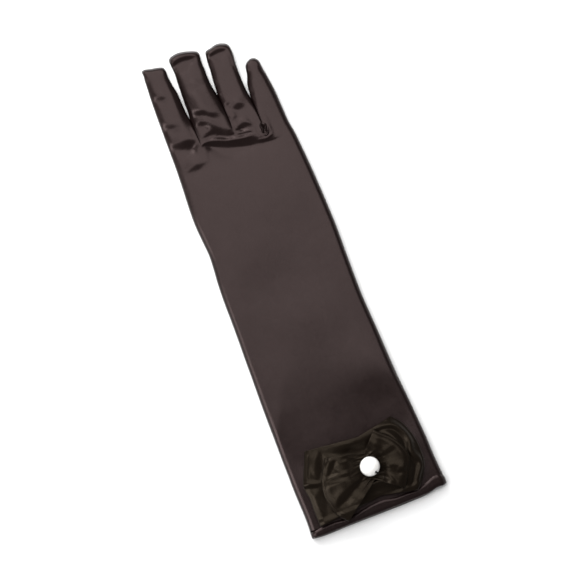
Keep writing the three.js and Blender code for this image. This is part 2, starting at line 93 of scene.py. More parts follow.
# Each finger's left and right sides above its root, and its tip from left to right. Neighbours share a side
# up to the place where the gap between them opens.
FINGERS = {
    "index": {
        "left": [
            (-37.4, 250), (-37.25, 256), (-37.05, 262), (-36.9, 268), (-36.65, 274), (-36.4, 279),
            (-36.1, 283.5), (-35.75, 288), (-35.5, 292), (-35.15, 294.4),
        ],
        "tip": [
            (-35.35, 296.6), (-35.0, 297.6), (-34, 297.95), (-31, 297.55), (-29, 296.95), (-27, 296.6),
            (-25, 296.1), (-23, 295.45), (-22, 294.6),
        ],
        "right": [
            (-18.6, 250), (-18.8, 257), (-19.0, 260.6), (-19.5, 264), (-19.75, 268), (-19.85, 273),
            (-20.2, 279), (-20.9, 282.5), (-21.45, 286.5), (-21.6, 289.5), (-21.5, 292),
        ],
    },
    "middle": {
        "left": [
            (-18.6, 250), (-18.8, 257), (-18.9, 260.6), (-18.5, 264.5), (-18.4, 270), (-18.2, 275),
            (-17.9, 279), (-17.65, 284), (-17.3, 288), (-17.35, 291), (-17.6, 294),
        ],
        "tip": [
            (-17.75, 296.6), (-17.3, 298.2), (-16, 299.2), (-14, 299.7), (-12, 300.0), (-9, 299.7),
            (-6, 299.0), (-3.5, 298.2), (-1.5, 297.4), (0.3, 296.2), (0.95, 294.8),
        ],
        "right": [
            (2.65, 252), (2.4, 258), (2.1, 264), (1.75, 268), (1.3, 270), (0.8, 273), (0.45, 277),
            (0.35, 281), (0.5, 285), (0.3, 288), (0.4, 290.5), (0.75, 293),
        ],
    },
    "ring": {
        "left": [
            (2.65, 252), (2.4, 258), (2.1, 264), (1.8, 268), (2.0, 270), (2.35, 273.5), (2.5, 276.5),
            (2.9, 279.5), (3.3, 283), (3.5, 287), (3.8, 290), (4.1, 292),
        ],
        "tip": [
            (4.35, 293.4), (5.0, 294.6), (6, 295.0), (8, 295.35), (10, 295.9), (12, 296.25), (14, 296.1),
            (16, 295.4), (18, 294.4), (19.2, 292.9), (19.6, 291.2),
        ],
        "right": [
            (20.3, 245), (20.0, 253), (19.7, 259), (19.3, 261.5), (19.0, 264.5), (18.85, 267.5),
            (18.8, 273), (18.9, 278), (19.1, 281.5), (19.5, 285), (19.7, 288.5),
        ],
    },
    "little": {
        "left": [
            (20.3, 245), (20.0, 253), (19.75, 259), (20.1, 261.5), (20.4, 265), (21.1, 268), (22.1, 270.5),
            (22.9, 273), (23.3, 275.5),
        ],
        "tip": [
            (23.7, 277.4), (24.6, 278.8), (26, 279.8), (28, 280.65), (30, 280.4), (31.4, 279.5),
            (32.4, 278.0), (32.8, 276.2),
        ],
        "right": [
            (35.4, 242), (35.25, 248), (35.1, 254), (34.7, 260), (34.2, 264), (33.8, 268), (33.1, 271.5),
            (32.9, 274),
        ],
    },
}
FINGER_HEIGHT = rows_of("y height", [
    (236, 6.6),
    (250, 6.3),
    (270, 5.9),
    (290, 5.5),
    (300, 5.1),
])

# Where the fingers' heights take over from the arm's, and how far it is from the edge of each to its middle.
FINGERS_FROM = 228
FINGERS_BLEND = 30
ARM_HALF = 40
FINGER_HALF = 8.6

# How the edge of the flattened glove is rounded, and at which column from a gap the strip's seam runs.
EDGE_MIDDLE = 2.4
TOP_ROUNDING = 3.6
FLOOR_ROUNDING = 2.4
CROWN_SHARE = 0.27
EDGE_COLUMNS = [0.0, 0.3, 0.75, 1.4, 2.2, 3.1]
SEAM_COLUMN = 2
INNER_CELLS = 12
SATIN_WALL = 0.8
LEAST_ROOM = 1.9  # between the glove's two sheets
EDGE_SLIVER = 0.2

# How far in from the edge each part of the height is at its full size, and the folds' share at the edge.
FOLDS_FULL = 2.2
FOLDS_AT_EDGE = 0.12
WAVES_FULL = 14
THUMB_SHOWS_FULL = 10
THUMB_LIFT_FULL = 3

# The rows of the net along the glove, and how they and its columns crowd together.
ARM_FROM = 4.0
ARM_ROWS = 80
HAND_ROWS = 66
FINGER_ROWS = 58
HAND_FROM = 202.0
SIDE_CROWDING = 0.45
ROOT_CROWDING = 1.25
SETTLE_ROWS = 12
END_CROWDING = 0.06
TIP_CROWDING = 0.02
STRIP_ENDS_BEFORE = 3  # rows that a strip leaves free at the fingertip

# Where the rounding of the fingers' edges tightens to their tips.
TIPS = rows_of("x y", [
    (-28.5, 296.6),
    (-8.4, 299.4),
    (11.8, 295.4),
    (28.4, 280.0),
])
TIP_ROUNDING = 1.5
TIP_HALF_WIDTH = 10.5
TIP_BELOW = 7
TIP_RAMP = 4

# Where neighbouring fingers touch, from the crotch to the place where the gap opens, and how deep the groove
# between them is.
TOUCHING = rows_of("x crotch gap groove", [
    (-18.6, 244.0, 262.0, 1.0),
    (2.5, 246.0, 269.5, 1.8),
    (20.1, 238.5, 262.5, 1.8),
])
TOUCHING_ROUNDING = 1.2
TOUCH_WIDTH = 3.0
TOUCH_BELOW = 9
TOUCH_RAMP = 8
TOUCH_FADE = 1.6
GROOVE_CURVE = 0.6

# The thumb lies under the palm, which rides up over it.
THUMB_ROOT = (-27.0, 168.0)
THUMB_END = (0.0, 214.0)
THUMB_LIFT_FROM = 0.42
THUMB_LIFT_PLATEAU = 9.6
THUMB_LIFT_RAMP = 10.0
THUMB_LIFT = 4.0
THUMB_SHOWS = 0.9
THUMB_SHOWS_WITHIN = 26.0

# Ridges and dents of the hand: the line that each follows, how high it stands (or how deep it is), how wide
# it is on its left and on its right, and how sharp it is.
FOLDS = rows_of("line height left right sharp", [
    ([(-18.2, 243.0), (-15.4, 243.9), (-13.1, 243.9), (-10.8, 243.3), (-8.2, 242.4), (-4.9, 241.0),
      (-2.3, 239.9), (0.3, 239.3), (3.6, 238.6), (7.6, 238.1), (11.5, 238.1), (15.5, 237.9)],
     0.4, 1.3, 0.8, 1.8),
    ([(3.9, 246.6), (6.4, 248.3), (9, 248.6), (11.5, 247.8), (13.7, 245.4)],
     0.4, 1.2, 0.9, 1.8),
    ([(15.2, 233.4), (18.8, 232.7), (23.6, 234.0)],
     0.5, 0.8, 0.7, 1.5),
    ([(26, 56), (22, 63), (14, 72)],
     -0.2, 10.0, 10.0, 2.0),
])

# Places where the satin steps down. Each has the middle line of its slope, with the slope's width at each
# point, and the satin is high on the line's left. Then come how far it drops, how much of that stands above
# the satin round it, how far it takes to come back to its level on the left and on the right, and how soon it
# fades at its two ends.
STEPS = rows_of("line drop above left right ends", [
    # Below the main fold, across the back of the hand.
    ([(-19.0, 242.6, 1.8), (-16, 242.6, 3.0), (-13, 241.7, 4.0), (-8, 240.0, 4.6),
      (-3, 237.9, 5.0), (2, 236.4, 5.2), (7, 235.1, 5.8), (12, 233.8, 7.0), (17, 231.6, 7.8),
      (22, 230.3, 7.6), (27, 230.2, 6.0), (31, 230.8, 4.0)],
     2.3, 0.1, 2.0, 15.0, (0.1, 0.25)),
    # Across the middle finger.
    ([(-12.8, 279.9, 3.0), (-8.2, 277.7, 4.6), (-3.6, 275.4, 3.0)],
     1.1, 0.5, 3.0, 3.0, (0.35, 0.35)),
    ([(-17.8, 292.4, 3.0), (-13.2, 290.6, 5.0), (-8.4, 288.6, 3.0)],
     1.1, 0.5, 2.6, 3.2, (0.35, 0.35)),
    ([(-17.4, 293.2, 2.6), (-14.5, 294.8, 4.2), (-10, 295.7, 4.8), (-5, 295.0, 4.6), (-1.0, 293.3, 3.0)],
     2.2, 0.5, 1.5, 6.0, (0.12, 0.14)),
    # Across the ring finger.
    ([(3.8, 243.2, 1.4), (6.2, 244.4, 2.8), (8.9, 245.2, 3.4), (11.8, 244.4, 3.2), (14.6, 242.0, 1.6)],
     1.3, 0.5, 1.7, 1.4, (0.2, 0.2)),
    ([(3.0, 241.2, 0.8), (7, 240.8, 1.6), (11.5, 240.1, 1.5), (15.0, 239.1, 0.8)],
     0.6, 0.3, 0.9, 0.9, (0.25, 0.25)),
    ([(3.6, 248.2, 2.0), (6.4, 250.8, 3.6), (9.8, 253.0, 3.0)],
     1.0, 0.5, 2.0, 2.2, (0.3, 0.3)),
    ([(5.6, 256.6, 4.4), (8.6, 256.9, 6.0), (13.8, 256.4, 6.0), (16.6, 255.8, 4.6)],
     1.7, 0.55, 4.0, 3.6, (0.28, 0.28)),
    ([(2.8, 260.8, 2.4), (5.6, 260.4, 4.2), (8.2, 259.4, 3.2)],
     1.0, 0.5, 2.4, 2.2, (0.35, 0.35)),
    ([(5.0, 290.4, 2.4), (8.4, 291.9, 3.8), (12.4, 292.4, 4.4), (17.8, 290.7, 3.0)],
     1.9, 0.5, 1.5, 6.0, (0.16, 0.16)),
    # Across the index finger and below it.
    ([(-36.0, 280.2, 4.0), (-30.8, 278.4, 6.0), (-25.0, 276.4, 4.0)],
     1.25, 0.5, 3.6, 3.6, (0.35, 0.35)),
    ([(-40.0, 263.0, 6.0), (-32.5, 260.6, 9.0), (-24.0, 256.4, 6.0)],
     2.1, 0.4, 7.0, 6.0, (0.4, 0.35)),
    ([(-39.6, 250.4, 5.0), (-31, 247.4, 8.0), (-25.5, 246.6, 7.4), (-18.6, 246.4, 5.0)],
     2.2, 0.35, 6.0, 6.5, (0.34, 0.15)),
    ([(-36, 230.6, 7.0), (-25.6, 231.9, 10.0), (-14, 233.0, 7.0)],
     2.2, 0.5, 6.0, 6.4, (0.35, 0.35)),
    ([(-21.4, 244.0, 3.4), (-22.0, 252, 4.4), (-22.4, 262, 4.4), (-22.6, 274, 4.2), (-23.4, 288, 3.4)],
     0.9, 0.5, 4.0, 3.0, (0.2, 0.25)),
    # Above the bow.
    ([(-44, 61.0, 36), (-10, 61.0, 36), (44, 61.0, 36)],
     1.0, 0.6, 30.0, 12.0, (0.02, 0.02)),
])

# How finely the lines of folds and steps are followed, and how both fade and bend.
FOLD_FINENESS = 4
FOLD_END_CURVE = 0.6
STEP_FINENESS = 5
STEP_BEND = 0.25
STEP_BACK_CURVE = 1.9
STEP_SPREAD = 3

# The middle finger's creases above its root, from left to right: where along the finger the crest, valley,
# saddle, hollow, ridge, gap, knuckle and end lie, and how high each is.
CREASES = rows_of("x places heights", [
    (-18.4, (243.6, 244.8, 246.0, 253.0, 257.0, 260.5, 265.0, 290), (0, 0, 0, 0, 0, 0, 0, 0)),
    (-16.5, (244.4, 245.4, 247.2, 253.0, 257.0, 260.5, 265.0, 290), (0, -0.1, 0.3, 0.4, 0.9, 0.8, 1.7, 0)),
    (-14.5, (244.2, 245.8, 248.2, 253.6, 257.4, 259.6, 264.4, 290), (0, -0.2, 0.6, 0.3, 1.3, 1.0, 2.2, 0)),
    (-12.5, (243.9, 246.0, 249.2, 253.2, 257.4, 259.2, 264.0, 290), (0, -0.3, 0.8, 0.1, 1.7, 1.1, 2.7, 0)),
    (-10.5, (243.2, 245.9, 249.6, 251.8, 256.8, 258.4, 263.4, 290), (0, -0.5, 0.8, 0.6, 2.3, 1.4, 3.2, 0)),
    (-8.5, (242.5, 245.3, 249.2, 251.6, 255.0, 257.0, 262.4, 290), (0, -0.65, 0.7, 1.5, 2.4, 1.5, 3.4, 0)),
    (-6.0, (241.4, 243.9, 247.0, 249.0, 251.8, 255.2, 259.8, 290), (0, -0.7, 0.4, 1.15, 1.9, 1.45, 3.0, 0)),
    (-3.0, (240.2, 242.5, 244.6, 246.2, 248.2, 254.2, 259.5, 290), (0, -0.65, 0.1, 0.7, 1.35, 1.4, 2.4, 0)),
    (0.0, (239.4, 241.8, 243.4, 244.9, 247.0, 253.5, 259.5, 290), (0, -0.6, 0, 0.55, 1.15, 1.1, 1.6, 0)),
    (2.0, (239.2, 241.6, 243.0, 244.5, 246.6, 253.0, 259.5, 290), (0, -0.35, 0, 0.3, 0.6, 0.5, 0.6, 0)),
    (3.4, (239.0, 241.4, 242.8, 244.2, 246.3, 253.0, 259.5, 290), (0, 0, 0, 0, 0, 0, 0, 0)),
])

# Slow waves of the arm's top: their lengths along and across, their height and where they begin.
WAVES = rows_of("along across height start", [
    (96, 130, 0.14, 0.4),
    (61, -88, 0.1, 1.7),
    (210, 62, 0.16, 3.1),
    (37, 190, 0.05, 5.0),
])

# The little gathered rosette where the ring and little fingers' strip ends, and the ridges of its gathers.
PUCKER = (20.2, 238.2)
PUCKER_ACROSS = 3.4
PUCKER_ALONG = 5.2
PUCKER_TURNS = 120
PUCKER_RINGS = 30
PUCKER_INNERMOST = 0.03
PUCKER_INWARDS = 4.0  # how far from the edge the satin under it is taken to lie
PUCKER_SWELL = 0.35
PUCKER_SWELL_SLOPE = 2.4
PUCKER_EDGE_DROP = 0.5
PUCKER_RIDGES = rows_of("line height left right sharp", [
    ([(19.8, 242.6), (19.0, 240.8), (19.4, 238.8), (18.8, 236.9)],
     1.5, 0.6, 0.55, 2.0),
    ([(23.0, 242.0), (22.0, 240.4), (21.1, 238.2), (21.6, 235.8)],
     1.1, 0.5, 0.5, 2.0),
    ([(17.3, 241.4), (16.9, 238.8), (17.5, 236.0)],
     1.1, 0.5, 0.55, 2.0),
    ([(23.4, 239.4), (23.0, 237.2), (21.3, 234.8), (19.0, 234.3)],
     0.9, 0.5, 0.55, 2.0),
    ([(20.2, 241.6), (20.4, 239.4), (20.3, 237.2)],
     -0.8, 0.5, 0.5, 2.0),
    ([(18.1, 241.2), (18.0, 238.8), (18.2, 236.4), (19.4, 235.6)],
     -0.8, 0.5, 0.5, 2.0),
    ([(22.6, 239.6), (22.2, 237.4), (20.8, 235.6)],
     -0.6, 0.45, 0.45, 2.0),
])

# The turned hem: where its crest runs and where its two edges end, from left to right.
HEM_END = 4.7
HEM_CREST = rows_of("x y", [
    (-44.0, 1.5), (-41.7, 1.7), (-37, 2.5), (-29, 3.0), (-20.8, 2.0),
    (-15, 2.5), (-9.3, 3.6), (-3.5, 4.4), (4.6, 4.4), (10.4, 3.1),
    (18.5, 3.0), (24.3, 2.6), (31.3, 4.2), (39.4, 6.2), (43.5, 4.4),
])
HEM_EDGE = rows_of("x over under", [
    (-44, -0.5, -0.9), (-41, -0.8, -1.3), (-20, -0.9, -1.5),
    (0, -1.0, -1.7), (20, -1.0, -1.8), (29, -0.9, -1.5),
    (33, -0.6, -0.9), (37, 0.3, 0.4), (41, 0.1, 0.3),
    (44, 0.3, 0.5),
])
HEM_COLUMNS = 130
HEM_SPREAD = 0.006
HEM_RIPPLE = (0.05, 1.3)  # two ripples round the mouth: the height of each and its turn from column to column
HEM_FINE_RIPPLE = (0.04, 2.9)
HEM_FLOOR = 0.02  # the least height of the hem over the floor
HEM_TURN = 1.6  # how fast the hem goes over from the back of the glove to its underside
# The hem's section: how far each row lies from its edge (0) towards its crest (1) and beyond it in mm, and
# how far it stands out on the back of the glove and along its sides.
HEM_SECTION = rows_of("to_crest beyond back side", [
    (1.0, 1.8, -0.3, -0.2),
    (1.0, 1.1, 0.05, 0.05),
    (1.0, 0.5, 0.34, 0.2),
    (1.0, 0.0, 0.48, 0.25),
    (0.86, 0.0, 0.46, 0.25),
    (0.7, 0.0, 0.42, 0.22),
    (0.5, 0.0, 0.4, 0.22),
    (0.3, 0.0, 0.36, 0.2),
    (0.14, 0.0, 0.14, 0.15),
    (0.04, 0.0, -0.4, 0.0),
    (0.0, 0.0, -1.0, -0.3),
    (0.05, 0.0, -1.5, -0.7),
    (0.3, 0.0, -1.6, -0.95),
    (0.7, 0.0, -1.5, -1.0),
    (1.0, 0.0, -1.4, -1.0),
    (1.0, 1.6, -1.2, -0.9),
])

# The bow's pinch, and the folded ends of its two ribbons, by place across each from lower to upper edge.
BOW = BEAD_PLAN
UNDER_ENDS = rows_of("across left_x left_y right_x right_y", [
    (-1.0, -36.7, 4.4, 25.8, 3.4),
    (-0.6, -36.9, 14.5, 31.6, 10.5),
    (-0.3, -36.6, 22.0, 35.2, 17.5),
    (0.0, -37.4, 30.2, 35.8, 27.0),
    (0.3, -35.2, 36.0, 34.8, 35.2),
    (0.6, -32.2, 42.5, 31.8, 43.6),
    (1.0, -28.9, 50.0, 26.6, 50.4),
])
UPPER_ENDS = rows_of("across left_x left_y right_x right_y", [
    (-1.0, -19.7, 1.2, 18.8, 7.4),
    (-0.6, -25.3, 8.6, 23.6, 15.2),
    (-0.2, -27.7, 19.5, 27.4, 22.2),
    (0.2, -26.3, 28.5, 27.7, 28.2),
    (0.6, -22.8, 36.0, 23.6, 37.0),
    (1.0, -19.1, 41.8, 14.0, 46.8),
])
# Folds of the two ribbons, in the same form as the hand's: for each the ridges and then the steps.
UNDER_FOLDS = rows_of("line height left right sharp", [
    ([(25.9, 4.4), (27.9, 9.5), (30.7, 13.4), (32.9, 16.5), (33.3, 18.8), (31.3, 23.8),
      (30.7, 27), (30.9, 29), (31.7, 33.1), (31.5, 35.5), (30.5, 38.8), (28.8, 42), (26.0, 45.2),
      (21, 46.8), (15.5, 47.2)],
     1.6, 1.8, 1.9, 1.9),
    ([(-33.4, 34.2), (-30.9, 40.2), (-28.2, 46.6)],
     -0.35, 0.4, 0.55, 2.0),
    ([(-37.4, 31.6), (-33, 30.6), (-28.0, 28.8)],
     0.6, 1.6, 1.2, 1.8),
])
UNDER_STEPS = rows_of("line drop above left right ends", [
    ([(21.4, 6.5, 2.6), (25.6, 13.0, 3.2), (28.0, 18.4, 3.4), (26.8, 24, 3.4), (26.3, 30, 3.6),
      (26.7, 34.5, 3.6), (24.8, 40.0, 3.8), (20.6, 43.4, 3.4), (14.6, 44.6, 2.4)],
     1.5, 0.9, 6.0, 2.0, (0.1, 0.15)),
    ([(-27.0, 30, 3.0), (-25.4, 36, 5.0), (-23.0, 42, 5.0), (-21.0, 48, 3.4)],
     1.5, 0.5, 3.0, 5.0, (0.2, 0.2)),
    ([(-31.0, 6, 3.0), (-31.0, 16, 5.4), (-30.4, 24, 5.4), (-29.5, 28, 3.0)],
     1.0, 0.5, 3.0, 3.0, (0.25, 0.15)),
    ([(-37.6, 29.8, 1.0), (-33, 28.6, 1.8), (-27.6, 27.0, 1.8)],
     0.5, 0.3, 0.8, 3.0, (0.1, 0.2)),
    ([(-14, 6.6, 5.0), (-4, 10.2, 9.0), (4, 11.8, 10.0), (12, 10.2, 8.0), (18, 8, 4.0)],
     3.2, 0.6, 2.0, 2.4, (0.12, 0.12)),
    ([(-20, 46.0, 3.0), (-13, 44.8, 5.2), (-5, 42.6, 5.4), (2, 40.8, 3.4)],
     0.8, 0.5, 3.0, 3.0, (0.2, 0.2)),
])
UPPER_FOLDS = rows_of("line height left right sharp", [
    ([(-24.5, 24.6), (-15, 25.4), (-5, 25.8)],
     0.5, 2.6, 3.2, 2.0),
    ([(11.8, 20.6), (13.9, 15.2), (16.2, 9.8)],
     0.35, 0.8, 0.8, 1.6),
    ([(9.5, 26), (15, 24.2), (22, 20.6)],
     0.7, 2.6, 2.6, 2.0),
    ([(8, 33.5), (12, 38), (15, 43)],
     0.6, 2.6, 2.6, 2.0),
])
UPPER_STEPS = rows_of("line drop above left right ends", [
    ([(-24.0, 28.5, 2.4), (-21.4, 33.0, 5.2), (-17.4, 36.6, 5.2), (-12.8, 38.6, 3.0)],
     1.7, 0.4, 2.4, 5.0, (0.2, 0.2)),
    ([(-24, 28.4, 1.4), (-15, 28.0, 2.4), (-9.3, 27.4, 2.2), (-3.4, 28.0, 1.4)],
     0.6, 0.5, 1.8, 1.4, (0.2, 0.2)),
    ([(-24, 10.6, 3.0), (-20, 14.2, 4.8), (-14, 17.6, 4.6), (-8, 20.2, 3.4), (-1, 22.4, 2.0)],
     1.4, 0.3, 4.4, 4.0, (0.15, 0.15)),
    ([(9.0, 20.0, 1.8), (11.0, 15.6, 3.0), (13.6, 11.2, 2.0)],
     0.8, 0.4, 1.2, 1.6, (0.2, 0.2)),
    ([(10.0, 30.0, 1.6), (14.5, 31.0, 3.0), (20, 32.4, 3.2), (24.5, 34.0, 2.4)],
     0.35, 0.5, 2.4, 2.8, (0.25, 0.25)),
    ([(17.5, 18.0, 1.8), (21.0, 18.2, 2.8), (24.6, 17.4, 2.2)],
     0.7, 0.5, 1.8, 1.6, (0.25, 0.25)),
    ([(-2.0, 34.4, 1.4), (-6.0, 35.6, 2.4), (-11.0, 37.0, 2.4)],
     0.6, 0.5, 1.8, 1.8, (0.2, 0.3)),
])
# What each ribbon was cut to before it was sewn to a loop, in metres: its width and its length.
UNDER_CUT = (0.047, 0.150)
UPPER_CUT = (0.040, 0.111)
# How wide each is at the pinch, its rows across, how round its fold is and how high its gathers stand.
UNDER_PINCH = 19.0
UPPER_PINCH = 8.6
UNDER_ROWS = 84
UPPER_ROWS = 96
UNDER_FOLD_RADIUS = 1.1
UPPER_FOLD_RADIUS = 1.4
UNDER_GATHER = 0.3
UNDER_SAG = 1.6
UPPER_GATHER = 0.28
UPPER_FINE_GATHER = 0.12
# How far out the gathers reach and where they begin, and how many of them there are across half a ribbon.
UNDER_GATHER_REACH = 0.7
UNDER_GATHER_WAVES = 2.2
UNDER_GATHER_START = 0.15
UNDER_SAG_SLOPE = 1.6
UNDER_SAG_FROM = 0.4
UPPER_GATHER_FADE = 4.6
UPPER_GATHER_FROM = 0.06
UPPER_GATHER_WAVES = 4.3
UPPER_FINE_WAVES = 7.1
RIBBON_THICKNESS = 0.5
RIBBON_HALF_PLAN = 24  # half a ribbon's width in its cloth's plan
SHOULDER_WIDTH = 3.2  # how far from its fold a ribbon begins to bend down, and how round it bends there
SHOULDER_RADIUS = 6.0
PINCH_SMOOTH = 0.12  # the share of the way out over which the upper ribbon's folds begin
LOWER_LAYER = 0.35
TOP_COLUMNS = np.concatenate([[0.0], np.linspace(0.02, 0.9, 52, endpoint=False), np.linspace(0.9, 1, 20)])
LOWER_COLUMNS = np.linspace(0, 1, 15)
FOLD_ARC = np.linspace(math.pi / 2, -math.pi / 2, 7)[1:-1]

# How high the under ribbon's top stands over the cuff and how it swells, the same of the upper ribbon over
# the under one, and the height of each ribbon's lower layer over what it lies on.
BOW_REACH = 40
UNDER_LOFT = 2.9
UNDER_RISE = 0.6
UNDER_SWELL = 2.2
UNDER_REST = 0.5
UPPER_LOFT = 2.4
UPPER_RISE = 0.9
UPPER_SWELL = 1.5
UPPER_REST = 0.9
HEM_UNDER_BOW = 0.6
HEM_UNDER_BOW_FROM = 1.5
HEM_UNDER_BOW_RAMP = 3

# Where the cloth of each piece lies in the plan of the weave, so that no two show the same place of it.
UNDERSIDE_CLOTH = (200, 0)
INSIDE_CLOTH = (0, 700)
HEM_CLOTH = 300.0
HEM_ROW_CLOTH = 1.2  # from one row of the hem to the next
HEM_UNDER_CLOTH = 30
THUMB_CLOTH = 400
THUMB_CLOTH_LENGTH = 60
ROSETTE_CLOTH = (0, 500)
CLOTH_UNIT = 10  # millimetres in one unit of that plan

# The thumb's section along it: its width and the height of its middle.
THUMB_ROWS = rows_of("share width middle", [
    (0.08, 16.8, 3.5), (0.16, 17.0, 2.8), (0.24, 17.0, 2.0), (0.34, 16.6, 1.65), (0.6, 15.8, 1.65),
    (0.85, 15.0, 1.65), (0.93, 13.4, 1.65), (0.98, 9.5, 1.65), (1.0, 4.0, 1.65),
])
THUMB_SHARES = np.concatenate([np.linspace(0.1, 0.86, 40), np.linspace(0.875, 1.0, 14)])
THUMB_TURNS = 40
THUMB_HALF_HEIGHT = 1.58
THUMB_FLATNESS = 1.3
THUMB_CREASE = (0.12, 31)  # two runs of creases across it: the height of each and its turn along the thumb
THUMB_FINE_CREASE = (0.08, 67)
THUMB_THICKNESS = 0.6


# Numbers

def smooth(t):
    t = np.clip(t, 0.0, 1.0)
    return t * t * (3 - 2 * t)


def column(rows, name):
    return np.array([row[name] for row in rows], float)


def curve_through(rows, key, name, places):
    """A smooth curve through a table's column, read at any places."""
    x, y = column(rows, key), column(rows, name)
    slopes = np.gradient(y, x)
    places = np.clip(np.asarray(places, float), x[0], x[-1])
    i = np.clip(np.searchsorted(x, places) - 1, 0, len(x) - 2)
    span = x[i + 1] - x[i]
    t = (places - x[i]) / span
    return (
        (2 * t**3 - 3 * t**2 + 1) * y[i]
        + (t**3 - 2 * t**2 + t) * span * slopes[i]
        + (3 * t**2 - 2 * t**3) * y[i + 1]
        + (t**3 - t**2) * span * slopes[i + 1]
    )


def path_through(points, shares):
    """Places along a smooth path through plan points, by share of its length."""
    points = np.asarray(points, float)
    steps = np.hypot(*np.diff(points, axis=0).T)
    run = np.concatenate([[0], np.cumsum(steps)])
    x = [{"run": r, "at": p} for r, p in zip(run, points[:, 0])]
    y = [{"run": r, "at": p} for r, p in zip(run, points[:, 1])]
    places = np.asarray(shares) * run[-1]
    return np.column_stack([curve_through(x, "run", "at", places), curve_through(y, "run", "at", places)])


def nearest_on_lines(points, starts, ends):
    """For each plan point: how far it is from the nearest of the straight pieces, how far along them it lies,
    and whether it is on their left."""
    best = np.full(len(points), np.inf)
    place = np.zeros(len(points))
    left = np.zeros(len(points), bool)
    for i, (a, b) in enumerate(zip(starts, ends)):
        way = b - a
        t = np.clip(((points - a) @ way) / max(way @ way, 1e-9), 0, 1)
        off = points - a - t[:, None] * way
        distance = np.hypot(*off.T)
        nearer = distance < best
        best[nearer] = distance[nearer]
        place[nearer] = (i + t[nearer]) / len(starts)
        left[nearer] = (way[0] * off[:, 1] - way[1] * off[:, 0] > 0)[nearer]
    return best, place, left


def rise_of_folds(points, folds):
    """The height that a list of ridges and dents adds at plan points."""
    rise = np.zeros(len(points))
    for fold in folds:
        line = path_through(fold["line"], np.linspace(0, 1, FOLD_FINENESS * len(fold["line"])))
        distance, place, on_left = nearest_on_lines(points, line[:-1], line[1:])
        fade = 0.5 + 0.5 * np.sin(np.pi * np.clip(place, 0, 1)) ** FOLD_END_CURVE
        width = np.where(on_left, fold["left"], fold["right"])
        rise += fold["height"] * fade * np.exp(-((distance / width) ** fold["sharp"]))
    return rise


def smooth_between(knots, values, at):
    """Smooth curves without overshoot: each place on its own row of knots and values."""
    gaps = np.diff(knots, axis=1)
    slopes = np.diff(values, axis=1) / gaps
    before, after = slopes[:, :-1], slopes[:, 1:]
    same_way = before * after > 0
    shared = 2 * before * after / np.where(same_way, before + after, 1)
    flat = np.zeros((len(knots), 1))
    slants = np.hstack([flat, np.where(same_way, shared, 0), flat])
    piece = np.clip((knots <= at[:, None]).sum(axis=1) - 1, 0, knots.shape[1] - 2)
    row = np.arange(len(at))
    gap = gaps[row, piece]
    t = np.clip((at - knots[row, piece]) / gap, 0, 1)
    u = 1 - t
    ends = values[row, piece] * (1 + 2 * t) * u**2 + values[row, piece + 1] * (3 - 2 * t) * t**2
    return ends + gap * t * u * (slants[row, piece] * u - slants[row, piece + 1] * t)


def rise_of_creases(points):
    """The height that the middle finger's creases add at plan points."""
    x = points[:, 0]
    columns = np.tile(column(CREASES, "x"), (len(x), 1))

    def across(name):
        """Each crease's place or height, read between the table's columns."""
        lines = column(CREASES, name).T
        return np.array([smooth_between(columns, np.tile(line, (len(x), 1)), x) for line in lines]).T

    within = (x > CREASES[0]["x"]) & (x < CREASES[-1]["x"])
    return within * smooth_between(across("places"), across("heights"), points[:, 1])


def rise_of_steps(points, steps):
    """The height that a list of steps adds at plan points."""
    rise = np.zeros(len(points))
    for step in steps:
        shares = np.linspace(0, 1, STEP_FINENESS * len(step["line"]))
        knots = np.array(step["line"], float)
        line = path_through(knots[:, :2], shares)
        run = np.concatenate([[0], np.cumsum(np.hypot(*np.diff(knots[:, :2], axis=0).T))])
        distance, place, on_left = nearest_on_lines(points, line[:-1], line[1:])
        half = np.interp(place, run / run[-1], knots[:, 2]) / 2
        near = np.clip(distance / half, 0, 1)
        inner = (1 + STEP_BEND) * near - STEP_BEND * near**5
        back = np.where(on_left, step["left"], step["right"])
        outer = np.exp(-((np.clip(distance - half, 0, None) / back) ** STEP_BACK_CURVE))
        level = np.where(on_left, step["above"], step["above"] - 1)
        start, end = step["ends"]
        spread = 1 + distance / STEP_SPREAD
        fade = smooth(place / (start * spread)) * smooth((1 - place) / (end * spread))
        middle = step["above"] - 0.5
        slope = middle + (level - middle) * inner
        rise += step["drop"] * np.where(distance < half, slope, level * outer) * fade
    return rise


# The glove's plan as a net of columns and rows

def finger_fractions(width):
    """Where a finger's columns stand across it: close together at both edges, even between."""
    edge = np.array(EDGE_COLUMNS) / width
    inner = np.linspace(edge[-1], 1 - edge[-1], INNER_CELLS + 1)
    return np.concatenate([edge[:-1], inner, (1 - edge[:-1])[::-1]])


FINGER_CELLS = 2 * (len(EDGE_COLUMNS) - 1) + INNER_CELLS


def root_points():
    """The net's row along the finger roots, with the crotches as shared points."""
    points = []
    for i in range(len(FINGERS)):
        a, b = np.array(ROOTS[i]), np.array(ROOTS[i + 1])
        fractions = finger_fractions(b[0] - a[0])
        start = 0 if i == 0 else 1
        points += [a + (b - a) * f for f in fractions[start:]]
    return np.array(points)


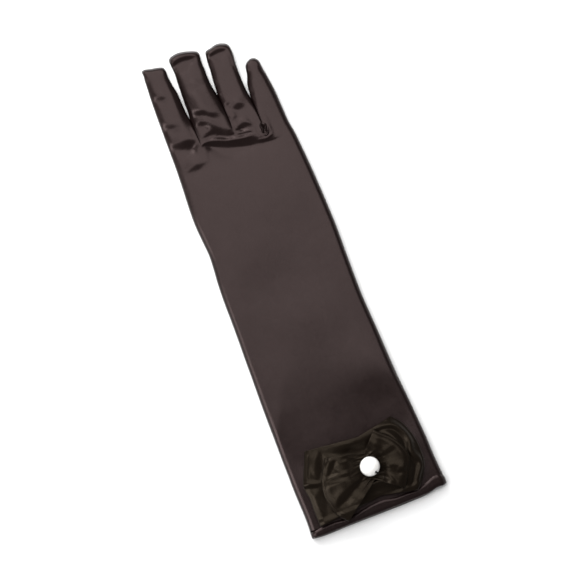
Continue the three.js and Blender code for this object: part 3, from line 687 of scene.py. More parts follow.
def hand_net():
    """Rows of plan points from the cuff to the finger roots."""
    roots = root_points()
    count = len(roots)
    even = np.linspace(0, 1, count)
    swing = np.cos(np.pi * even)
    even = 0.5 - 0.5 * swing * (1 - SIDE_CROWDING + SIDE_CROWDING * np.abs(swing))
    at_roots = (roots[:, 0] - roots[0, 0]) / (roots[-1, 0] - roots[0, 0])
    rows = []
    for y in np.linspace(ARM_FROM, HAND_FROM, ARM_ROWS)[:-1]:
        rows.append(np.column_stack([even, np.full(count, y)]))
    for v in np.linspace(0, 1, HAND_ROWS):
        share = smooth(v)
        y = HAND_FROM + (roots[:, 1] - HAND_FROM) * (1 - (1 - v) ** ROOT_CROWDING)
        rows.append(np.column_stack([even + (at_roots - even) * share, y]))
    net = np.array(rows)
    left = curve_through(ARM, "y", "left", net[:, :, 1])
    right = curve_through(ARM, "y", "right", net[:, :, 1])
    net[:, :, 0] = left + (right - left) * net[:, :, 0]
    # The last rows settle onto the roots' own points.
    settle = smooth((np.arange(len(rows)) - (len(rows) - SETTLE_ROWS)) / (SETTLE_ROWS - 1))[:, None]
    offset = roots[:, 0] - net[-1, :, 0]
    net[:, :, 0] += settle * offset
    return net


def finger_net(finger, roots):
    """Rows of plan points from a finger's root to its tip, spread evenly between its four sides."""
    tip_path = finger["tip"]
    across = finger_fractions(roots[-1, 0] - roots[0, 0])
    v = np.linspace(0, 1, FINGER_ROWS)
    v = v + END_CROWDING * np.sin(2 * np.pi * v) + TIP_CROWDING * np.sin(np.pi * v)
    v[0], v[-1] = 0, 1
    left = path_through([roots[0], *finger["left"], tip_path[0]], v)
    right = path_through([roots[-1], *finger["right"], tip_path[-1]], v)
    tip = path_through(tip_path, across)
    rows = []
    for share, a, b in zip(v, left, right):
        between = a + np.outer(across, b - a)
        corners = (1 - share) * (roots[0] + np.outer(across, roots[-1] - roots[0]))
        corners = corners + share * (tip[0] + np.outer(across, tip[-1] - tip[0]))
        rows.append(between + (1 - share) * roots + share * tip - corners)
    rows[0], rows[-1] = roots, tip
    return np.array(rows)


# The glove's heights

def thumb_rise(points):
    """How far the palm's underside is raised over the thumb, and how much shows on the back of the hand."""
    root, end = np.array(THUMB_ROOT), np.array(THUMB_END)
    start = root + (end - root) * THUMB_LIFT_FROM
    distance, _, _ = nearest_on_lines(points, [start], [end])
    below = THUMB_LIFT * smooth(1 - (distance - THUMB_LIFT_PLATEAU) / THUMB_LIFT_RAMP)
    return below, THUMB_SHOWS * np.exp(-((distance / THUMB_SHOWS_WITHIN) ** 2))


def touching(points):
    """How closely a point belongs to a place where two fingers touch, and how deep the groove is there. The
    first is 1 at the crotch and 0 where the gap is."""
    share = np.zeros(len(points))
    groove = np.zeros(len(points))
    for place in TOUCHING:
        near = 1 - smooth((np.abs(points[:, 0] - place["x"]) - TOUCH_WIDTH) / TOUCH_WIDTH)
        along = np.clip((place["gap"] - points[:, 1]) / (place["gap"] - place["crotch"]), 0, 1)
        near = near * smooth((points[:, 1] - place["crotch"] + TOUCH_BELOW) / TOUCH_RAMP)
        share = np.maximum(share, near * smooth(TOUCH_FADE * along))
        groove = np.maximum(groove, near * place["groove"] * (1 - along) ** GROOVE_CURVE)
    return share, groove


def nearness_to_tips(points):
    """How closely a point belongs to a fingertip, from 0 to 1."""
    share = np.zeros(len(points))
    for tip in TIPS:
        own = np.abs(points[:, 0] - tip["x"]) < TIP_HALF_WIDTH
        share = np.maximum(share, own * smooth((points[:, 1] - tip["y"] + TIP_BELOW) / TIP_RAMP))
    return share


def wave_rise(points):
    """The slow waves of satin that lies loosely."""
    rise = np.zeros(len(points))
    for wave in WAVES:
        turn = 2 * math.pi * (points[:, 1] / wave["along"] + points[:, 0] / wave["across"]) + wave["start"]
        rise += wave["height"] * np.sin(turn)
    return rise


def glove_heights(points, edge_distance):
    """The heights of the glove's top and of its underside, over plan points."""
    y = points[:, 1]
    in_fingers = smooth((y - FINGERS_FROM) / FINGERS_BLEND)
    height = curve_through(ARM, "y", "height", y) * (1 - in_fingers)
    height += curve_through(FINGER_HEIGHT, "y", "height", y) * in_fingers
    half = ARM_HALF + (FINGER_HALF - ARM_HALF) * in_fingers
    folds = rise_of_folds(points, FOLDS) + rise_of_steps(points, STEPS) + rise_of_creases(points)
    close, groove = touching(points)
    edge_height = EDGE_MIDDLE + (height - groove - EDGE_MIDDLE) * close
    rounding = TOP_ROUNDING + (TOUCHING_ROUNDING - TOP_ROUNDING) * close
    rounding += (TIP_ROUNDING - rounding) * nearness_to_tips(points)
    inwards = 1 - np.clip(edge_distance / rounding, 0, 1)
    shoulder = np.sqrt(1 - inwards**2)
    crown = 1 - (1 - np.clip(edge_distance / half, 0, 1)) ** 2
    lift, shows = thumb_rise(points)
    top = edge_height + (height - edge_height) * ((1 - CROWN_SHARE) * shoulder + CROWN_SHARE * crown)
    top += folds * np.maximum(close, smooth(edge_distance / FOLDS_FULL + FOLDS_AT_EDGE))
    top += wave_rise(points) * smooth(edge_distance / WAVES_FULL)
    top += shows * smooth(edge_distance / THUMB_SHOWS_FULL)
    edge_height += folds * close
    inwards = 1 - np.clip(edge_distance / FLOOR_ROUNDING, 0, 1)
    low = edge_height * (1 - np.sqrt(1 - inwards**2)) + lift * smooth(edge_distance / THUMB_LIFT_FULL)
    room = np.where(edge_distance > EDGE_SLIVER, LEAST_ROOM * smooth(edge_distance), 0)
    top = np.maximum(top, low + room)
    return top, low


# Meshes

bead_low, bead_high = (np.array(corner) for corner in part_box("pearl"))
bead_centre = (bead_low + bead_high) / 2 / MM
SHIFT = np.array([bead_centre[0] - BEAD_PLAN[0], bead_centre[1] - BEAD_PLAN[1], 0.0])


def make_piece(name, points, faces, finish, plan=None, normals=None):
    """A mesh object from points in millimetres, with its cloth's plan as its texture coordinates."""
    mesh = bpy.data.meshes.new(name)
    mesh.from_pydata(((np.asarray(points) + SHIFT) * MM).tolist(), [], faces)
    mesh.update()
    mesh.polygons.foreach_set("use_smooth", [True] * len(mesh.polygons))
    if plan is not None:
        layer = mesh.uv_layers.new(name="cloth")
        corners = np.empty(len(mesh.loops), int)
        mesh.loops.foreach_get("vertex_index", corners)
        layer.data.foreach_set("uv", (np.asarray(plan)[corners] / CLOTH_UNIT).ravel())
    if normals is not None:
        mesh.normals_split_custom_set(normals.tolist())
    piece = bpy.data.objects.new(name, mesh)
    bpy.context.scene.collection.objects.link(piece)
    mesh.materials.append(finish)
    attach(piece, "root")
    return piece


def normals_of(points, faces):
    """The smooth normal at each point of a surface of four-sided faces."""
    a, b, c, d = (points[faces[:, i]] for i in range(4))
    across = np.cross(c - a, d - b)
    normals = np.zeros_like(points)
    for i in range(4):
        np.add.at(normals, faces[:, i], across)
    return normals / np.maximum(np.linalg.norm(normals, axis=1), 1e-12)[:, None]


def doubled(points, faces, normals, thickness):
    """A surface given its thickness: outside, inside and the rim between them, with the corners' normals."""
    count = len(points)
    directed = np.stack([faces, np.roll(faces, -1, axis=1)], axis=2).reshape(-1, 2)
    low, high = directed.min(axis=1), directed.max(axis=1)
    key = low * count + high
    _, first, uses = np.unique(key, return_index=True, return_counts=True)
    open_edges = directed[first[uses == 1]]
    rim = np.column_stack([open_edges[:, ::-1], open_edges + count])
    inside = faces[:, ::-1] + count
    spots = np.vstack([points, points - normals * thickness])
    a, b, c, d = (spots[rim[:, i]] for i in range(4))
    rim_normals = np.cross(c - a, d - b)
    rim_normals /= np.maximum(np.linalg.norm(rim_normals, axis=1), 1e-12)[:, None]
    both = np.vstack([normals, -normals])
    corners = np.vstack([both[faces.ravel()], both[inside.ravel()], np.repeat(rim_normals, 4, axis=0)])
    return spots, np.vstack([faces, inside, rim]), corners


def thicken(piece, thickness, offset=-1.0):
    """Gives a cloth surface its thickness."""
    solidify = piece.modifiers.new("thickness", "SOLIDIFY")
    solidify.thickness = thickness * MM
    solidify.offset = offset
    solidify.use_even_offset = False
    solidify.use_rim = True


def grid_faces(index, closed=False):
    """The four-sided faces of a net of point numbers."""
    faces = []
    rows, columns = index.shape
    for r in range(rows - 1):
        for c in range(columns if closed else columns - 1):
            d = (c + 1) % columns
            faces.append((int(index[r, c]), int(index[r, d]), int(index[r + 1, d]), int(index[r + 1, c])))
    return faces


def make_glove(satin):
    """The arm, hand and fingers, and the strips between the fingers: one surface, then cut at its seams."""
    hand = hand_net()
    nets = [finger_net(f, hand[-1, i * FINGER_CELLS : (i + 1) * FINGER_CELLS + 1])
            for i, f in enumerate(FINGERS.values())]
    plan = [hand.reshape(-1, 2)]
    total = len(plan[0])
    top_hand = np.arange(total).reshape(hand.shape[:2])
    tops = []
    for i, net in enumerate(nets):
        own = net[1:].reshape(-1, 2)
        index = np.arange(total, total + len(own)).reshape(net.shape[0] - 1, -1)
        total += len(own)
        plan.append(own)
        tops.append(np.vstack([top_hand[-1, i * FINGER_CELLS : (i + 1) * FINGER_CELLS + 1], index]))
    plan = np.vstack(plan)
    # The two sheets share the points of their edges, of the crotches and of the fingertips.
    shared = np.zeros(total, bool)
    shared[top_hand[:, 0]] = True
    shared[top_hand[:, -1]] = True
    for i, index in enumerate(tops):
        shared[index[1:, 0]] = True
        shared[index[1:, -1]] = True
        shared[index[-1]] = True
        if i:
            shared[index[0, 0]] = True
    below = np.arange(total)
    below[~shared] = total + np.arange((~shared).sum())
    edges = [top_hand[:, 0], top_hand[:, -1]]
    for index in tops:
        edges += [index[:, 0], index[:, -1], index[-1]]
    starts = np.vstack([plan[edge[:-1]] for edge in edges])
    ends = np.vstack([plan[edge[1:]] for edge in edges])
    distance, _, _ = nearest_on_lines(plan, starts, ends)
    distance[shared] = 0
    top_z, low_z = glove_heights(plan, distance)
    points = np.vstack([np.column_stack([plan, top_z]), np.column_stack([plan, low_z])[~shared]])
    flat = np.vstack([plan, plan[~shared] + UNDERSIDE_CLOTH])

    body, strips = [], {"gusset_index_middle": [], "gusset_middle_ring": [], "gusset_ring_little": []}
    body += grid_faces(top_hand)
    body += [face[::-1] for face in grid_faces(below[top_hand])]
    names = list(strips)
    for i, index in enumerate(tops):
        columns = index.shape[1]
        last = index.shape[0] - STRIP_ENDS_BEFORE
        for sheet, turned in ((index, False), (below[index], True)):
            for r in range(index.shape[0] - 1):
                for c in range(columns - 1):
                    corners = (sheet[r, c], sheet[r, c + 1], sheet[r + 1, c + 1], sheet[r + 1, c])
                    face = [int(corner) for corner in corners]
                    face = face[::-1] if turned else face
                    if c < SEAM_COLUMN and i > 0 and r < last:
                        strips[names[i - 1]].append(face)
                    elif c >= columns - 1 - SEAM_COLUMN and i < len(tops) - 1 and r < last:
                        strips[names[i]].append(face)
                    else:
                        body.append(face)

    every = np.array(body + [face for faces in strips.values() for face in faces])
    normals = normals_of(points, every)

    def piece_of(name, faces, node):
        used = np.unique(np.array(faces))
        renumber = np.full(len(points), -1)
        renumber[used] = np.arange(len(used))
        spots, sides, corners = doubled(points[used], renumber[np.array(faces)], normals[used], SATIN_WALL)
        cloth = np.vstack([flat[used], flat[used] + INSIDE_CLOTH])
        piece = make_piece(name, spots, sides.tolist(), satin, cloth, corners)
        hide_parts(node)

    piece_of("satin_glove", body, "glove_body")
    for name, faces in strips.items():
        piece_of(name + "_strip", faces, name)
    make_pucker(satin, (starts, ends))


# The bow

def cuff_top(x, y):
    """The height of the cloth under the bow."""
    rows_left = curve_through(ARM, "y", "left", y)
    rows_right = curve_through(ARM, "y", "right", y)
    height = curve_through(ARM, "y", "height", y)
    inside = np.minimum(x - rows_left, rows_right - x)
    shoulder = np.sqrt(1 - (1 - np.clip(inside / TOP_ROUNDING, 0, 1)) ** 2)
    crown = 1 - (1 - np.clip(inside / ARM_HALF, 0, 1)) ** 2
    hem = HEM_UNDER_BOW * (1 - smooth((y - HEM_END - HEM_UNDER_BOW_FROM) / HEM_UNDER_BOW_RAMP))
    return EDGE_MIDDLE + (height - EDGE_MIDDLE) * ((1 - CROWN_SHARE) * shoulder + CROWN_SHARE * crown) + hem


def under_roof(x, y):
    """The top of the under ribbon, without its gathers."""
    out = smooth(np.clip(np.hypot(x - BOW[0], y - BOW[1]) / BOW_REACH, 0, 1))
    return cuff_top(x, y) + UNDER_LOFT + UNDER_RISE * out + UNDER_SWELL * np.sin(np.pi * out) ** 2


def upper_roof(x, y, share):
    """The top of the upper ribbon, without its gathers, by the share of the way out from the pinch."""
    out = smooth(share)
    return under_roof(x, y) + UPPER_LOFT + UPPER_RISE * out + UPPER_SWELL * np.sin(np.pi * out) ** 2


def ribbon_loop(name, ends, pinch, rows, floor_of, roof_of, fold_radius, gather, folds, steps, tight, finish):
    """A ribbon sewn to a loop, pinched at the bow's middle and folded at both ends, in rows across it. The
    share "tight" says how much of its folds and steps the pinch flattens."""
    across = np.linspace(-1, 1, rows)
    net, plan = [], []
    for a in across:
        middle = np.array([BOW[0], BOW[1] + pinch * a])
        sides = {}
        for side in ("left", "right"):
            end = np.array([
                curve_through(ends, "across", side + "_x", a),
                curve_through(ends, "across", side + "_y", a),
            ])
            way = end - middle
            length = np.hypot(*way)
            straight = 1 - fold_radius / length
            top = middle + np.outer(TOP_COLUMNS * straight, way)
            low = middle + np.outer(LOWER_COLUMNS * straight, way)
            x, y = top.T
            top_z = roof_of(x, y, TOP_COLUMNS) + gather(a, TOP_COLUMNS)
            soft = 1 - tight * (1 - smooth(TOP_COLUMNS / PINCH_SMOOTH))
            to_fold = (1 - TOP_COLUMNS) * length * straight
            past = np.clip(SHOULDER_WIDTH - to_fold, 0, None)
            top_z -= SHOULDER_RADIUS - np.sqrt(SHOULDER_RADIUS**2 - past**2)
            top_z += soft * (rise_of_folds(top, folds) + rise_of_steps(top, steps))
            low_z = floor_of(*low.T) + LOWER_LAYER
            bend = middle + np.outer(straight + fold_radius * np.cos(FOLD_ARC) / length, way)
            centre_z = (top_z[-1] + low_z[-1]) / 2
            bend_z = centre_z + (top_z[-1] - low_z[-1]) / 2 * np.sin(FOLD_ARC)
            sides[side] = (
                np.column_stack([top, top_z]),
                np.column_stack([bend, bend_z]),
                np.column_stack([low, low_z]),
            )
        left, right = sides["left"], sides["right"]
        ring = np.vstack([
            left[0][::-1], right[0][1:], right[1], right[2][::-1], left[2][1:], left[1][::-1],
        ])
        strides = np.hypot(*np.diff(ring[:, :2], axis=0).T)
        run = np.concatenate([[0], np.cumsum(strides)])
        net.append(ring)
        plan.append(np.column_stack([run, np.full(len(ring), RIBBON_HALF_PLAN * a)]))
    net = np.array(net)
    index = np.arange(net.shape[0] * net.shape[1]).reshape(net.shape[:2])
    faces = [face[::-1] for face in grid_faces(index, closed=True)]
    return make_piece(name, net.reshape(-1, 3), faces, finish, np.array(plan).reshape(-1, 2))


def under_gather(a, share):
    """The under ribbon lies nearly flat, with a few soft folds towards the pinch."""
    near = 1 - smooth(share / UNDER_GATHER_REACH)
    fold = UNDER_GATHER * math.cos(2 * math.pi * (UNDER_GATHER_WAVES * a + UNDER_GATHER_START))
    return near * (fold - UNDER_SAG * smooth(-UNDER_SAG_SLOPE * a - UNDER_SAG_FROM))


def upper_gather(a, share):
    """The upper ribbon's gathers fan out from the pinch."""
    near = np.exp(-share * UPPER_GATHER_FADE) * smooth(share / UPPER_GATHER_FROM)
    wide = UPPER_GATHER * math.cos(2 * math.pi * UPPER_GATHER_WAVES * a)
    fine = UPPER_FINE_GATHER * math.cos(2 * math.pi * UPPER_FINE_WAVES * a + 1)
    return near * (wide + fine)


def make_bow(ribbon):
    """Both ribbons, each given its thickness."""
    under = ribbon_loop(
        "under_ribbon", UNDER_ENDS, UNDER_PINCH, UNDER_ROWS,
        lambda x, y: cuff_top(x, y) + UNDER_REST,
        lambda x, y, share: under_roof(x, y),
        UNDER_FOLD_RADIUS, under_gather, UNDER_FOLDS, UNDER_STEPS, 0, ribbon,
    )
    upper = ribbon_loop(
        "upper_ribbon", UPPER_ENDS, UPPER_PINCH, UPPER_ROWS,
        lambda x, y: under_roof(x, y) + UPPER_REST,
        upper_roof,
        UPPER_FOLD_RADIUS, upper_gather, UPPER_FOLDS, UPPER_STEPS, 1, ribbon,
    )
    for piece, node, cut, below in (
        (under, "bow_under_ribbon", UNDER_CUT, "satin_glove"),
        (upper, "bow_upper_ribbon", UPPER_CUT, "under_ribbon"),
    ):
        thicken(piece, RIBBON_THICKNESS, 0.0)
        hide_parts(node)


# Finishes

class Socket:
    """One output of a finish's node tree. Arithmetic on it adds Math nodes."""

    def __init__(self, finish, output):
        self.finish, self.output = finish, output

    def _math(self, operation, first, second):
        return self.finish.node("ShaderNodeMath", {"operation": operation}, {0: first, 1: second})

    def __add__(self, other):
        return self._math("ADD", self, other)

    def __radd__(self, other):
        return self._math("ADD", other, self)

    def __sub__(self, other):
        return self._math("SUBTRACT", self, other)

    def __rsub__(self, other):
        return self._math("SUBTRACT", other, self)

    def __mul__(self, other):
        return self._math("MULTIPLY", self, other)

    def __rmul__(self, other):
        return self._math("MULTIPLY", other, self)


class Finish:
    """A material whose nodes are added one at a time."""

    def __init__(self, name, **constants):
        self.material = bpy.data.materials.new(name)
        self.material.use_nodes = True
        self.tree = self.material.node_tree
        self.shader = self.tree.nodes["Principled BSDF"]
        for socket, value in constants.items():
            self.shader.inputs[socket.replace("_", " ")].default_value = value

    def node(self, kind, settings=None, inputs=None, output=0):
        made = self.tree.nodes.new(kind)
        for name, value in (settings or {}).items():
            setattr(made, name, value)
        for name, value in (inputs or {}).items():
            self.feed(made.inputs[name], value)
        return Socket(self, made.outputs[output])

    def feed(self, socket, value):
        if isinstance(value, Socket):
            self.tree.links.new(value.output, socket)
        else:
            socket.default_value = value

    def mix(self, share, first, second):
        """A colour between two."""
        made = self.tree.nodes.new("ShaderNodeMix")
        made.data_type = "RGBA"
        self.feed(made.inputs["Factor"], share)
        for socket, value in ((made.inputs[6], first), (made.inputs[7], second)):
            self.feed(socket, value if isinstance(value, Socket) else (*value, 1))
        return Socket(self, made.outputs[2])

    def colour(self, value):
        self.feed(self.shader.inputs["Base Color"], value)

    def roughness(self, value):
        self.feed(self.shader.inputs["Roughness"], value)

    def bump(self, height, distance):
        normal = self.node("ShaderNodeBump", inputs={"Height": height, "Distance": distance * MM})
        self.feed(self.shader.inputs["Normal"], normal)


def satin_finish(name, deep, bright, roughness, shine, glint):
    """Warp-faced satin: fine threads along the cloth, a faint slub and a soft broad shine."""
    satin = Finish(name, Specular_IOR_Level=shine, Specular_Tint=(*glint, 1))
    plan = satin.node("ShaderNodeUVMap", {"uv_map": "cloth"})
    stretched = satin.node(
        "ShaderNodeMapping", {"vector_type": "TEXTURE"}, {"Vector": plan, "Scale": (0.06, 1.4, 1.0)}
    )
    slub = satin.node("ShaderNodeTexNoise", {}, {"Vector": stretched, "Scale": 2.2, "Detail": 3.0})
    cloud = satin.node(
        "ShaderNodeTexNoise", {}, {"Vector": plan, "Scale": 1.3, "Detail": 4.0, "Roughness": 0.6}
    )
    threads = satin.node(
        "ShaderNodeTexWave",
        {"wave_type": "BANDS", "bands_direction": "X"},
        {"Vector": plan, "Scale": 24.0, "Distortion": 0.3, "Detail": 1.0, "Detail Scale": 1.5},
    )
    tone = 0.35 * slub + 0.4 * cloud + 0.25 * threads
    satin.colour(satin.mix(tone, deep, bright))
    satin.roughness(roughness + 0.14 * cloud + 0.06 * slub + 0.08 * threads - 0.13)
    satin.bump(0.04 * threads + 0.4 * slub, 0.05)
    return satin.material


def pearl_finish():
    pearl = Finish(
        "pearl_coat",
        Roughness=0.2,
        Coat_Weight=0.7,
        Coat_Roughness=0.06,
        Specular_IOR_Level=0.6,
        Sheen_Weight=0.15,
        Sheen_Tint=(1.0, 0.92, 0.95, 1),
    )
    place = pearl.node("ShaderNodeTexCoord", output="Object")
    cloud = pearl.node("ShaderNodeTexNoise", {}, {"Vector": place, "Scale": 180.0, "Detail": 3.0})
    pearl.colour(pearl.mix(cloud, (0.93, 0.91, 0.87), (0.99, 0.985, 0.97)))
    pearl.roughness(0.14 + 0.12 * cloud)
    return pearl.material


def thread_finish():
    black = Finish("black_thread", Specular_IOR_Level=0.2)
    place = black.node("ShaderNodeTexCoord", output="Object")
    fuzz = black.node("ShaderNodeTexNoise", {}, {"Vector": place, "Scale": 2500.0, "Detail": 2.0})
    black.colour(black.mix(fuzz, (0.003, 0.002, 0.002), (0.01, 0.008, 0.007)))
    black.roughness(0.55 + 0.2 * fuzz)
    return black.material


def floor_finish():
    pale = Finish("pale_floor", Roughness=0.75, Specular_IOR_Level=0.15)
    place = pale.node("ShaderNodeTexCoord", output="Object")
    cloud = pale.node("ShaderNodeTexNoise", {}, {"Vector": place, "Scale": 6.0, "Detail": 2.0})
    pale.colour(pale.mix(cloud, (0.9, 0.9, 0.9), (0.92, 0.92, 0.92)))
    return pale.material


# The hem, the bead and its thread

def make_hem(satin):
    """The turned hem: doubled cloth round the mouth, with a soft crest and its edge rolled in."""
    across = 0.5 - 0.5 * np.cos(np.linspace(0, np.pi, HEM_COLUMNS))
    left, right = ARM[1]["left"], ARM[1]["right"]
    x = left + (right - left) * across
    plan = np.column_stack([x, np.full(len(x), ARM[1]["y"])])
    top, low = glove_heights(plan, np.minimum(x - left, right - x))
    ring = np.vstack([np.column_stack([x, top]), np.column_stack([x, low])[-2:0:-1]])
    tangent = np.roll(ring, -1, 0) - np.roll(ring, 1, 0)
    normal = np.column_stack([-tangent[:, 1], tangent[:, 0]])
    normal /= np.hypot(*normal.T)[:, None]
    on_back = smooth(HEM_TURN * normal[:, 1])
    underneath = smooth(-HEM_TURN * normal[:, 1])
    x = ring[:, 0]
    crest = curve_through(HEM_CREST, "x", "y", x)
    crest = crest * (1 - underneath) + HEM_END * underneath
    over = curve_through(HEM_EDGE, "x", "over", x)
    edge = over + (curve_through(HEM_EDGE, "x", "under", x) - over) * (1 - on_back)
    spread = 1 + HEM_SPREAD * np.abs(x) * (1 - on_back)
    turn = np.arange(len(x))
    ripple = HEM_RIPPLE[0] * np.sin(turn * HEM_RIPPLE[1])
    ripple = ripple + HEM_FINE_RIPPLE[0] * np.sin(turn * HEM_FINE_RIPPLE[1] + 1)
    rows, cloth = [], []
    for i, row in enumerate(HEM_SECTION):
        y = edge + (crest - edge) * row["to_crest"] + row["beyond"]
        stand = row["side"] + (row["back"] - row["side"]) * on_back + ripple * (row["back"] > 0)
        spot = ring + normal * stand[:, None] * spread[:, None]
        rows.append(np.column_stack([spot[:, 0], y, np.maximum(spot[:, 1], HEM_FLOOR)]))
        place = np.full(len(x), HEM_CLOTH + HEM_ROW_CLOTH * i) + HEM_UNDER_CLOTH * underneath
        cloth.append(np.column_stack([x, place]))
    net = np.array(rows)
    index = np.arange(net.shape[0] * len(x)).reshape(net.shape[0], len(x))
    index = np.vstack([index, index[:1]])
    faces = [face[::-1] for face in grid_faces(index, closed=True)]
    piece = make_piece("turned_hem", net.reshape(-1, 3), faces, satin, np.array(cloth).reshape(-1, 2))
    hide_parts("cuff_hem")


def make_pucker(satin, edges):
    """The small gathered rosette of satin at the foot of the ring and little fingers' strip."""
    turns = np.linspace(0, 2 * math.pi, PUCKER_TURNS, endpoint=False)
    reach = np.linspace(PUCKER_INNERMOST, 1, PUCKER_RINGS)
    turn, out = np.meshgrid(turns, reach)
    plan = np.column_stack([
        (PUCKER[0] + PUCKER_ACROSS * out * np.cos(turn)).ravel(),
        (PUCKER[1] + PUCKER_ALONG * out * np.sin(turn)).ravel(),
    ])
    distance, _, _ = nearest_on_lines(plan, *edges)
    top, _ = glove_heights(plan, distance)
    smooth_top, _ = glove_heights(plan, np.full(len(plan), PUCKER_INWARDS))
    out = out.ravel()
    height = smooth_top + (top - smooth_top) * smooth(2 * out - 1)
    swell = smooth(PUCKER_SWELL_SLOPE * (1 - out))
    height += (PUCKER_SWELL + rise_of_folds(plan, PUCKER_RIDGES)) * swell
    height -= PUCKER_EDGE_DROP * smooth(3 * out - 2)
    index = np.arange(len(plan)).reshape(len(reach), len(turns))
    faces = grid_faces(index, closed=True)
    faces.append([int(i) for i in index[0]][::-1])
    points = np.column_stack([plan, height])
    piece = make_piece("gathered_rosette", points, faces, satin, plan + ROSETTE_CLOTH)


def make_thumb(satin):
    """The thumb, folded flat under the palm."""
    root, end = np.array(THUMB_ROOT), np.array(THUMB_END)
    way = end - root
    along = way / np.hypot(*way)
    across = np.array([along[1], -along[0]])
    turns = np.linspace(0, 2 * math.pi, THUMB_TURNS, endpoint=False)
    net, plan = [], []
    for share in THUMB_SHARES:
        half = curve_through(THUMB_ROWS, "share", "width", share) / 2
        middle = curve_through(THUMB_ROWS, "share", "middle", share)
        flat = np.clip(THUMB_FLATNESS * np.sin(turns), -1, 1)
        crease = THUMB_CREASE[0] * math.sin(share * THUMB_CREASE[1])
        crease += THUMB_FINE_CREASE[0] * math.sin(share * THUMB_FINE_CREASE[1] + 1)
        place = root + way * share + np.outer(half * np.cos(turns), across)
        net.append(np.column_stack([place, middle + (THUMB_HALF_HEIGHT + crease * (flat > 0)) * flat]))
        cloth = np.full(len(turns), THUMB_CLOTH + THUMB_CLOTH_LENGTH * share)
        plan.append(np.column_stack([half * turns, cloth]))
    net = np.array(net)
    index = np.arange(net.shape[0] * net.shape[1]).reshape(net.shape[:2])
    faces = [face[::-1] for face in grid_faces(index, closed=True)]
    faces.append([int(i) for i in index[-1]][::-1])
    piece = make_piece("thumb_satin", net.reshape(-1, 3), faces, satin, np.array(plan).reshape(-1, 2))
    thicken(piece, THUMB_THICKNESS)
    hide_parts("thumb")


BEAD_RADIUS = 6.0
BEAD_HOLE = 0.9
HOLE_EDGE = 1.25  # how much further out than the hole the round of the bead begins
HOLE_EASE = 1.08
HOLE_EASE_DEPTH = 0.08
HOLE_DEPTH = 0.5
BEAD_RINGS = 48
BEAD_TURNS = 72
HOLE_TURN = math.radians(-63)
HOLE_TILT = math.radians(32)


def make_bead(finish):
    """A round bead, drilled through, with the hole's rim eased."""
    start = math.asin(BEAD_HOLE / BEAD_RADIUS)
    bends = np.linspace(start * HOLE_EDGE, math.pi - start * HOLE_EDGE, BEAD_RINGS)
    depth = BEAD_RADIUS * math.cos(start)
    profile = [(BEAD_HOLE, depth - HOLE_DEPTH), (BEAD_HOLE * HOLE_EASE, depth - HOLE_EASE_DEPTH)]
    profile += [(BEAD_RADIUS * math.sin(b), BEAD_RADIUS * math.cos(b)) for b in bends]
    profile += [(BEAD_HOLE * HOLE_EASE, HOLE_EASE_DEPTH - depth), (BEAD_HOLE, HOLE_DEPTH - depth)]
    turns = np.linspace(0, 2 * math.pi, BEAD_TURNS, endpoint=False)
    rings = np.array([
        np.column_stack([r * np.cos(turns), r * np.sin(turns), np.full(len(turns), h)]) for r, h in profile
    ])
    axis = Vector((math.cos(HOLE_TILT), 0, math.sin(HOLE_TILT)))
    axis.rotate(Quaternion((0, 0, 1), HOLE_TURN))
    turn = np.array(Vector((0, 0, 1)).rotation_difference(axis).to_matrix())
    points = rings.reshape(-1, 3) @ turn.T + np.array([*BEAD_PLAN, bead_centre[2]])
    index = np.arange(len(points)).reshape(rings.shape[:2])
    index = np.vstack([index, index[:1]])
    faces = [face[::-1] for face in grid_faces(index, closed=True)]
    piece = make_piece("bead", points, faces, finish)
    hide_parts("pearl")


# The thread's way through the bead: how far along the hole's line, in plan, and how far up from its middle.
THREAD_ROUTE = [
    (-5.1, -5.2), (-6.0, -4.8), (-5.7, -3.9), (-4.4, -2.75), (4.4, 2.75), (5.6, 3.3), (6.3, 1.4), (6.3, -3.2),
    (4.9, -5.2),
]
THREAD_TWIST = 0.26
THREAD_STRAND = 0.3
THREAD_LAY = 2.2  # how far along it one turn of the twist takes
THREAD_POINTS = 150
STRAND_SIDES = 8


def make_thread(finish):
    """Two twisted strands through the bead."""
    rows = [{"t": t, "along": a, "up": u} for t, (a, u) in enumerate(THREAD_ROUTE)]
    t = np.linspace(0, len(rows) - 1, THREAD_POINTS)
    along, up = curve_through(rows, "t", "along", t), curve_through(rows, "t", "up", t)
    route = np.column_stack([along * math.cos(HOLE_TURN), along * math.sin(HOLE_TURN), up])
    route += np.array([*BEAD_PLAN, bead_centre[2]])
    tangent = np.gradient(route, axis=0)
    tangent /= np.linalg.norm(tangent, axis=1)[:, None]
    side = np.array([-math.sin(HOLE_TURN), math.cos(HOLE_TURN), 0.0])
    lift = np.cross(tangent, side)
    run = np.concatenate([[0], np.cumsum(np.linalg.norm(np.diff(route, axis=0), axis=1))])
    points, faces = [], []
    for strand in range(2):
        twist = 2 * math.pi * run / THREAD_LAY + math.pi * strand
        centre = route + THREAD_TWIST * (np.cos(twist)[:, None] * side + np.sin(twist)[:, None] * lift)
        turns = np.linspace(0, 2 * math.pi, STRAND_SIDES, endpoint=False)
        ring = [centre + THREAD_STRAND * (math.cos(a) * side + math.sin(a) * lift) for a in turns]
        net = np.stack(ring, axis=1)
        count = net.shape[0] * STRAND_SIDES
        index = np.arange(count).reshape(-1, STRAND_SIDES) + len(points) * count
        faces += grid_faces(index, closed=True)
        faces += [[int(i) for i in index[0]][::-1], [int(i) for i in index[-1]]]
        points.append(net.reshape(-1, 3))
    piece = make_piece("bead_thread", np.vstack(points), faces, finish)
    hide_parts("pearl_thread")


# The room

FLOOR_REACH = 6.0
FLOOR_DROP = 0.0003  # how far the floor lies below the glove


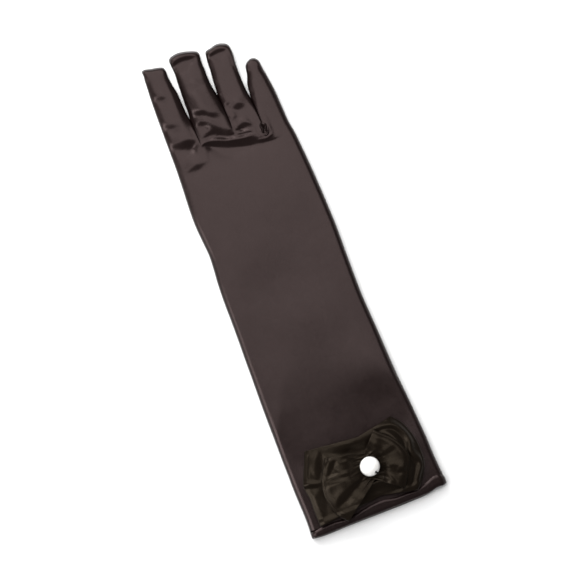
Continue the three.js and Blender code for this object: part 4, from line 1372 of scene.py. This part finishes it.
def make_floor():
    mesh = bpy.data.meshes.new("floor")
    corners = [(FLOOR_REACH * x, FLOOR_REACH * y, 0) for x, y in ((-1, -1), (1, -1), (1, 1), (-1, 1))]
    mesh.from_pydata(corners, [], [(0, 1, 2, 3)])
    floor = bpy.data.objects.new("floor", mesh)
    floor.location.z = -FLOOR_DROP
    bpy.context.scene.collection.objects.link(floor)
    mesh.materials.append(floor_finish())


def add_light(name, place, target, size, power):
    data = bpy.data.lights.new(name, "AREA")
    data.shape = "RECTANGLE"
    data.size, data.size_y = size
    data.energy = power
    light = bpy.data.objects.new(name, data)
    light.location = place
    light.rotation_euler = (Vector(target) - Vector(place)).to_track_quat("-Z", "Y").to_euler()
    bpy.context.scene.collection.objects.link(light)


PHOTO_SIDE = 576  # pixels
MM_PER_PIXEL = 0.6
TURN = math.radians(21.8)  # how far the glove is turned in the photograph
PHOTO_CENTRE = (-1.65, -4.15)  # the point under the middle of the photograph, from the frame's origin
CAMERA_HEIGHT = 6.0
SENSOR_WIDTH = 36
NEAREST_SEEN = 0.05
FURTHEST_SEEN = 50


def add_camera():
    data = bpy.data.cameras.new("camera")
    data.sensor_width = SENSOR_WIDTH
    data.lens = SENSOR_WIDTH * CAMERA_HEIGHT / (PHOTO_SIDE * MM_PER_PIXEL * MM)
    data.clip_start = NEAREST_SEEN
    data.clip_end = FURTHEST_SEEN
    camera = bpy.data.objects.new("camera", data)
    camera.location = (PHOTO_CENTRE[0] * MM, PHOTO_CENTRE[1] * MM, CAMERA_HEIGHT)
    camera.rotation_euler = (0, 0, -TURN)
    bpy.context.scene.collection.objects.link(camera)
    bpy.context.scene.camera = camera


# Where each light stands, what it points at, its two sides and its power.
LIGHTS = {
    "overhead": ((0.05, 0.29, 0.6), (0.05, 0.29, 0), (0.74, 0.72), 5.0),
    "window": ((-0.35, 1.0, 0.75), (0, 0.05, 0), (1.1, 0.4), 12),
    "side": ((-1.0, -0.1, 0.75), (0, -0.05, 0), (0.34, 1.0), 8),
}
ROOM_STRENGTH = 0.3


def add_room_light():
    world = bpy.data.worlds.new("room")
    world.use_nodes = True
    background = world.node_tree.nodes["Background"]
    background.inputs["Color"].default_value = (1, 1, 1, 1)
    background.inputs["Strength"].default_value = ROOM_STRENGTH
    bpy.context.scene.world = world
    for name, (place, target, size, power) in LIGHTS.items():
        add_light(name, place, target, size, power)
    bpy.context.scene.view_settings.view_transform = "Standard"


# Making everything

satin = satin_finish(
    "satin", deep=(0.0036, 0.0018, 0.0016), bright=(0.0058, 0.0029, 0.0027),
    roughness=0.28, shine=0.28, glint=(1.0, 0.76, 0.74),
)
ribbon = satin_finish(
    "ribbon_satin", deep=(0.0042, 0.0028, 0.0019), bright=(0.0068, 0.0047, 0.0033),
    roughness=0.27, shine=0.125, glint=(1.0, 0.80, 0.60),
)
make_glove(satin)
make_hem(satin)
make_thumb(satin)
make_bow(ribbon)
make_bead(pearl_finish())
make_thread(thread_finish())
make_floor()
add_camera()
add_room_light()
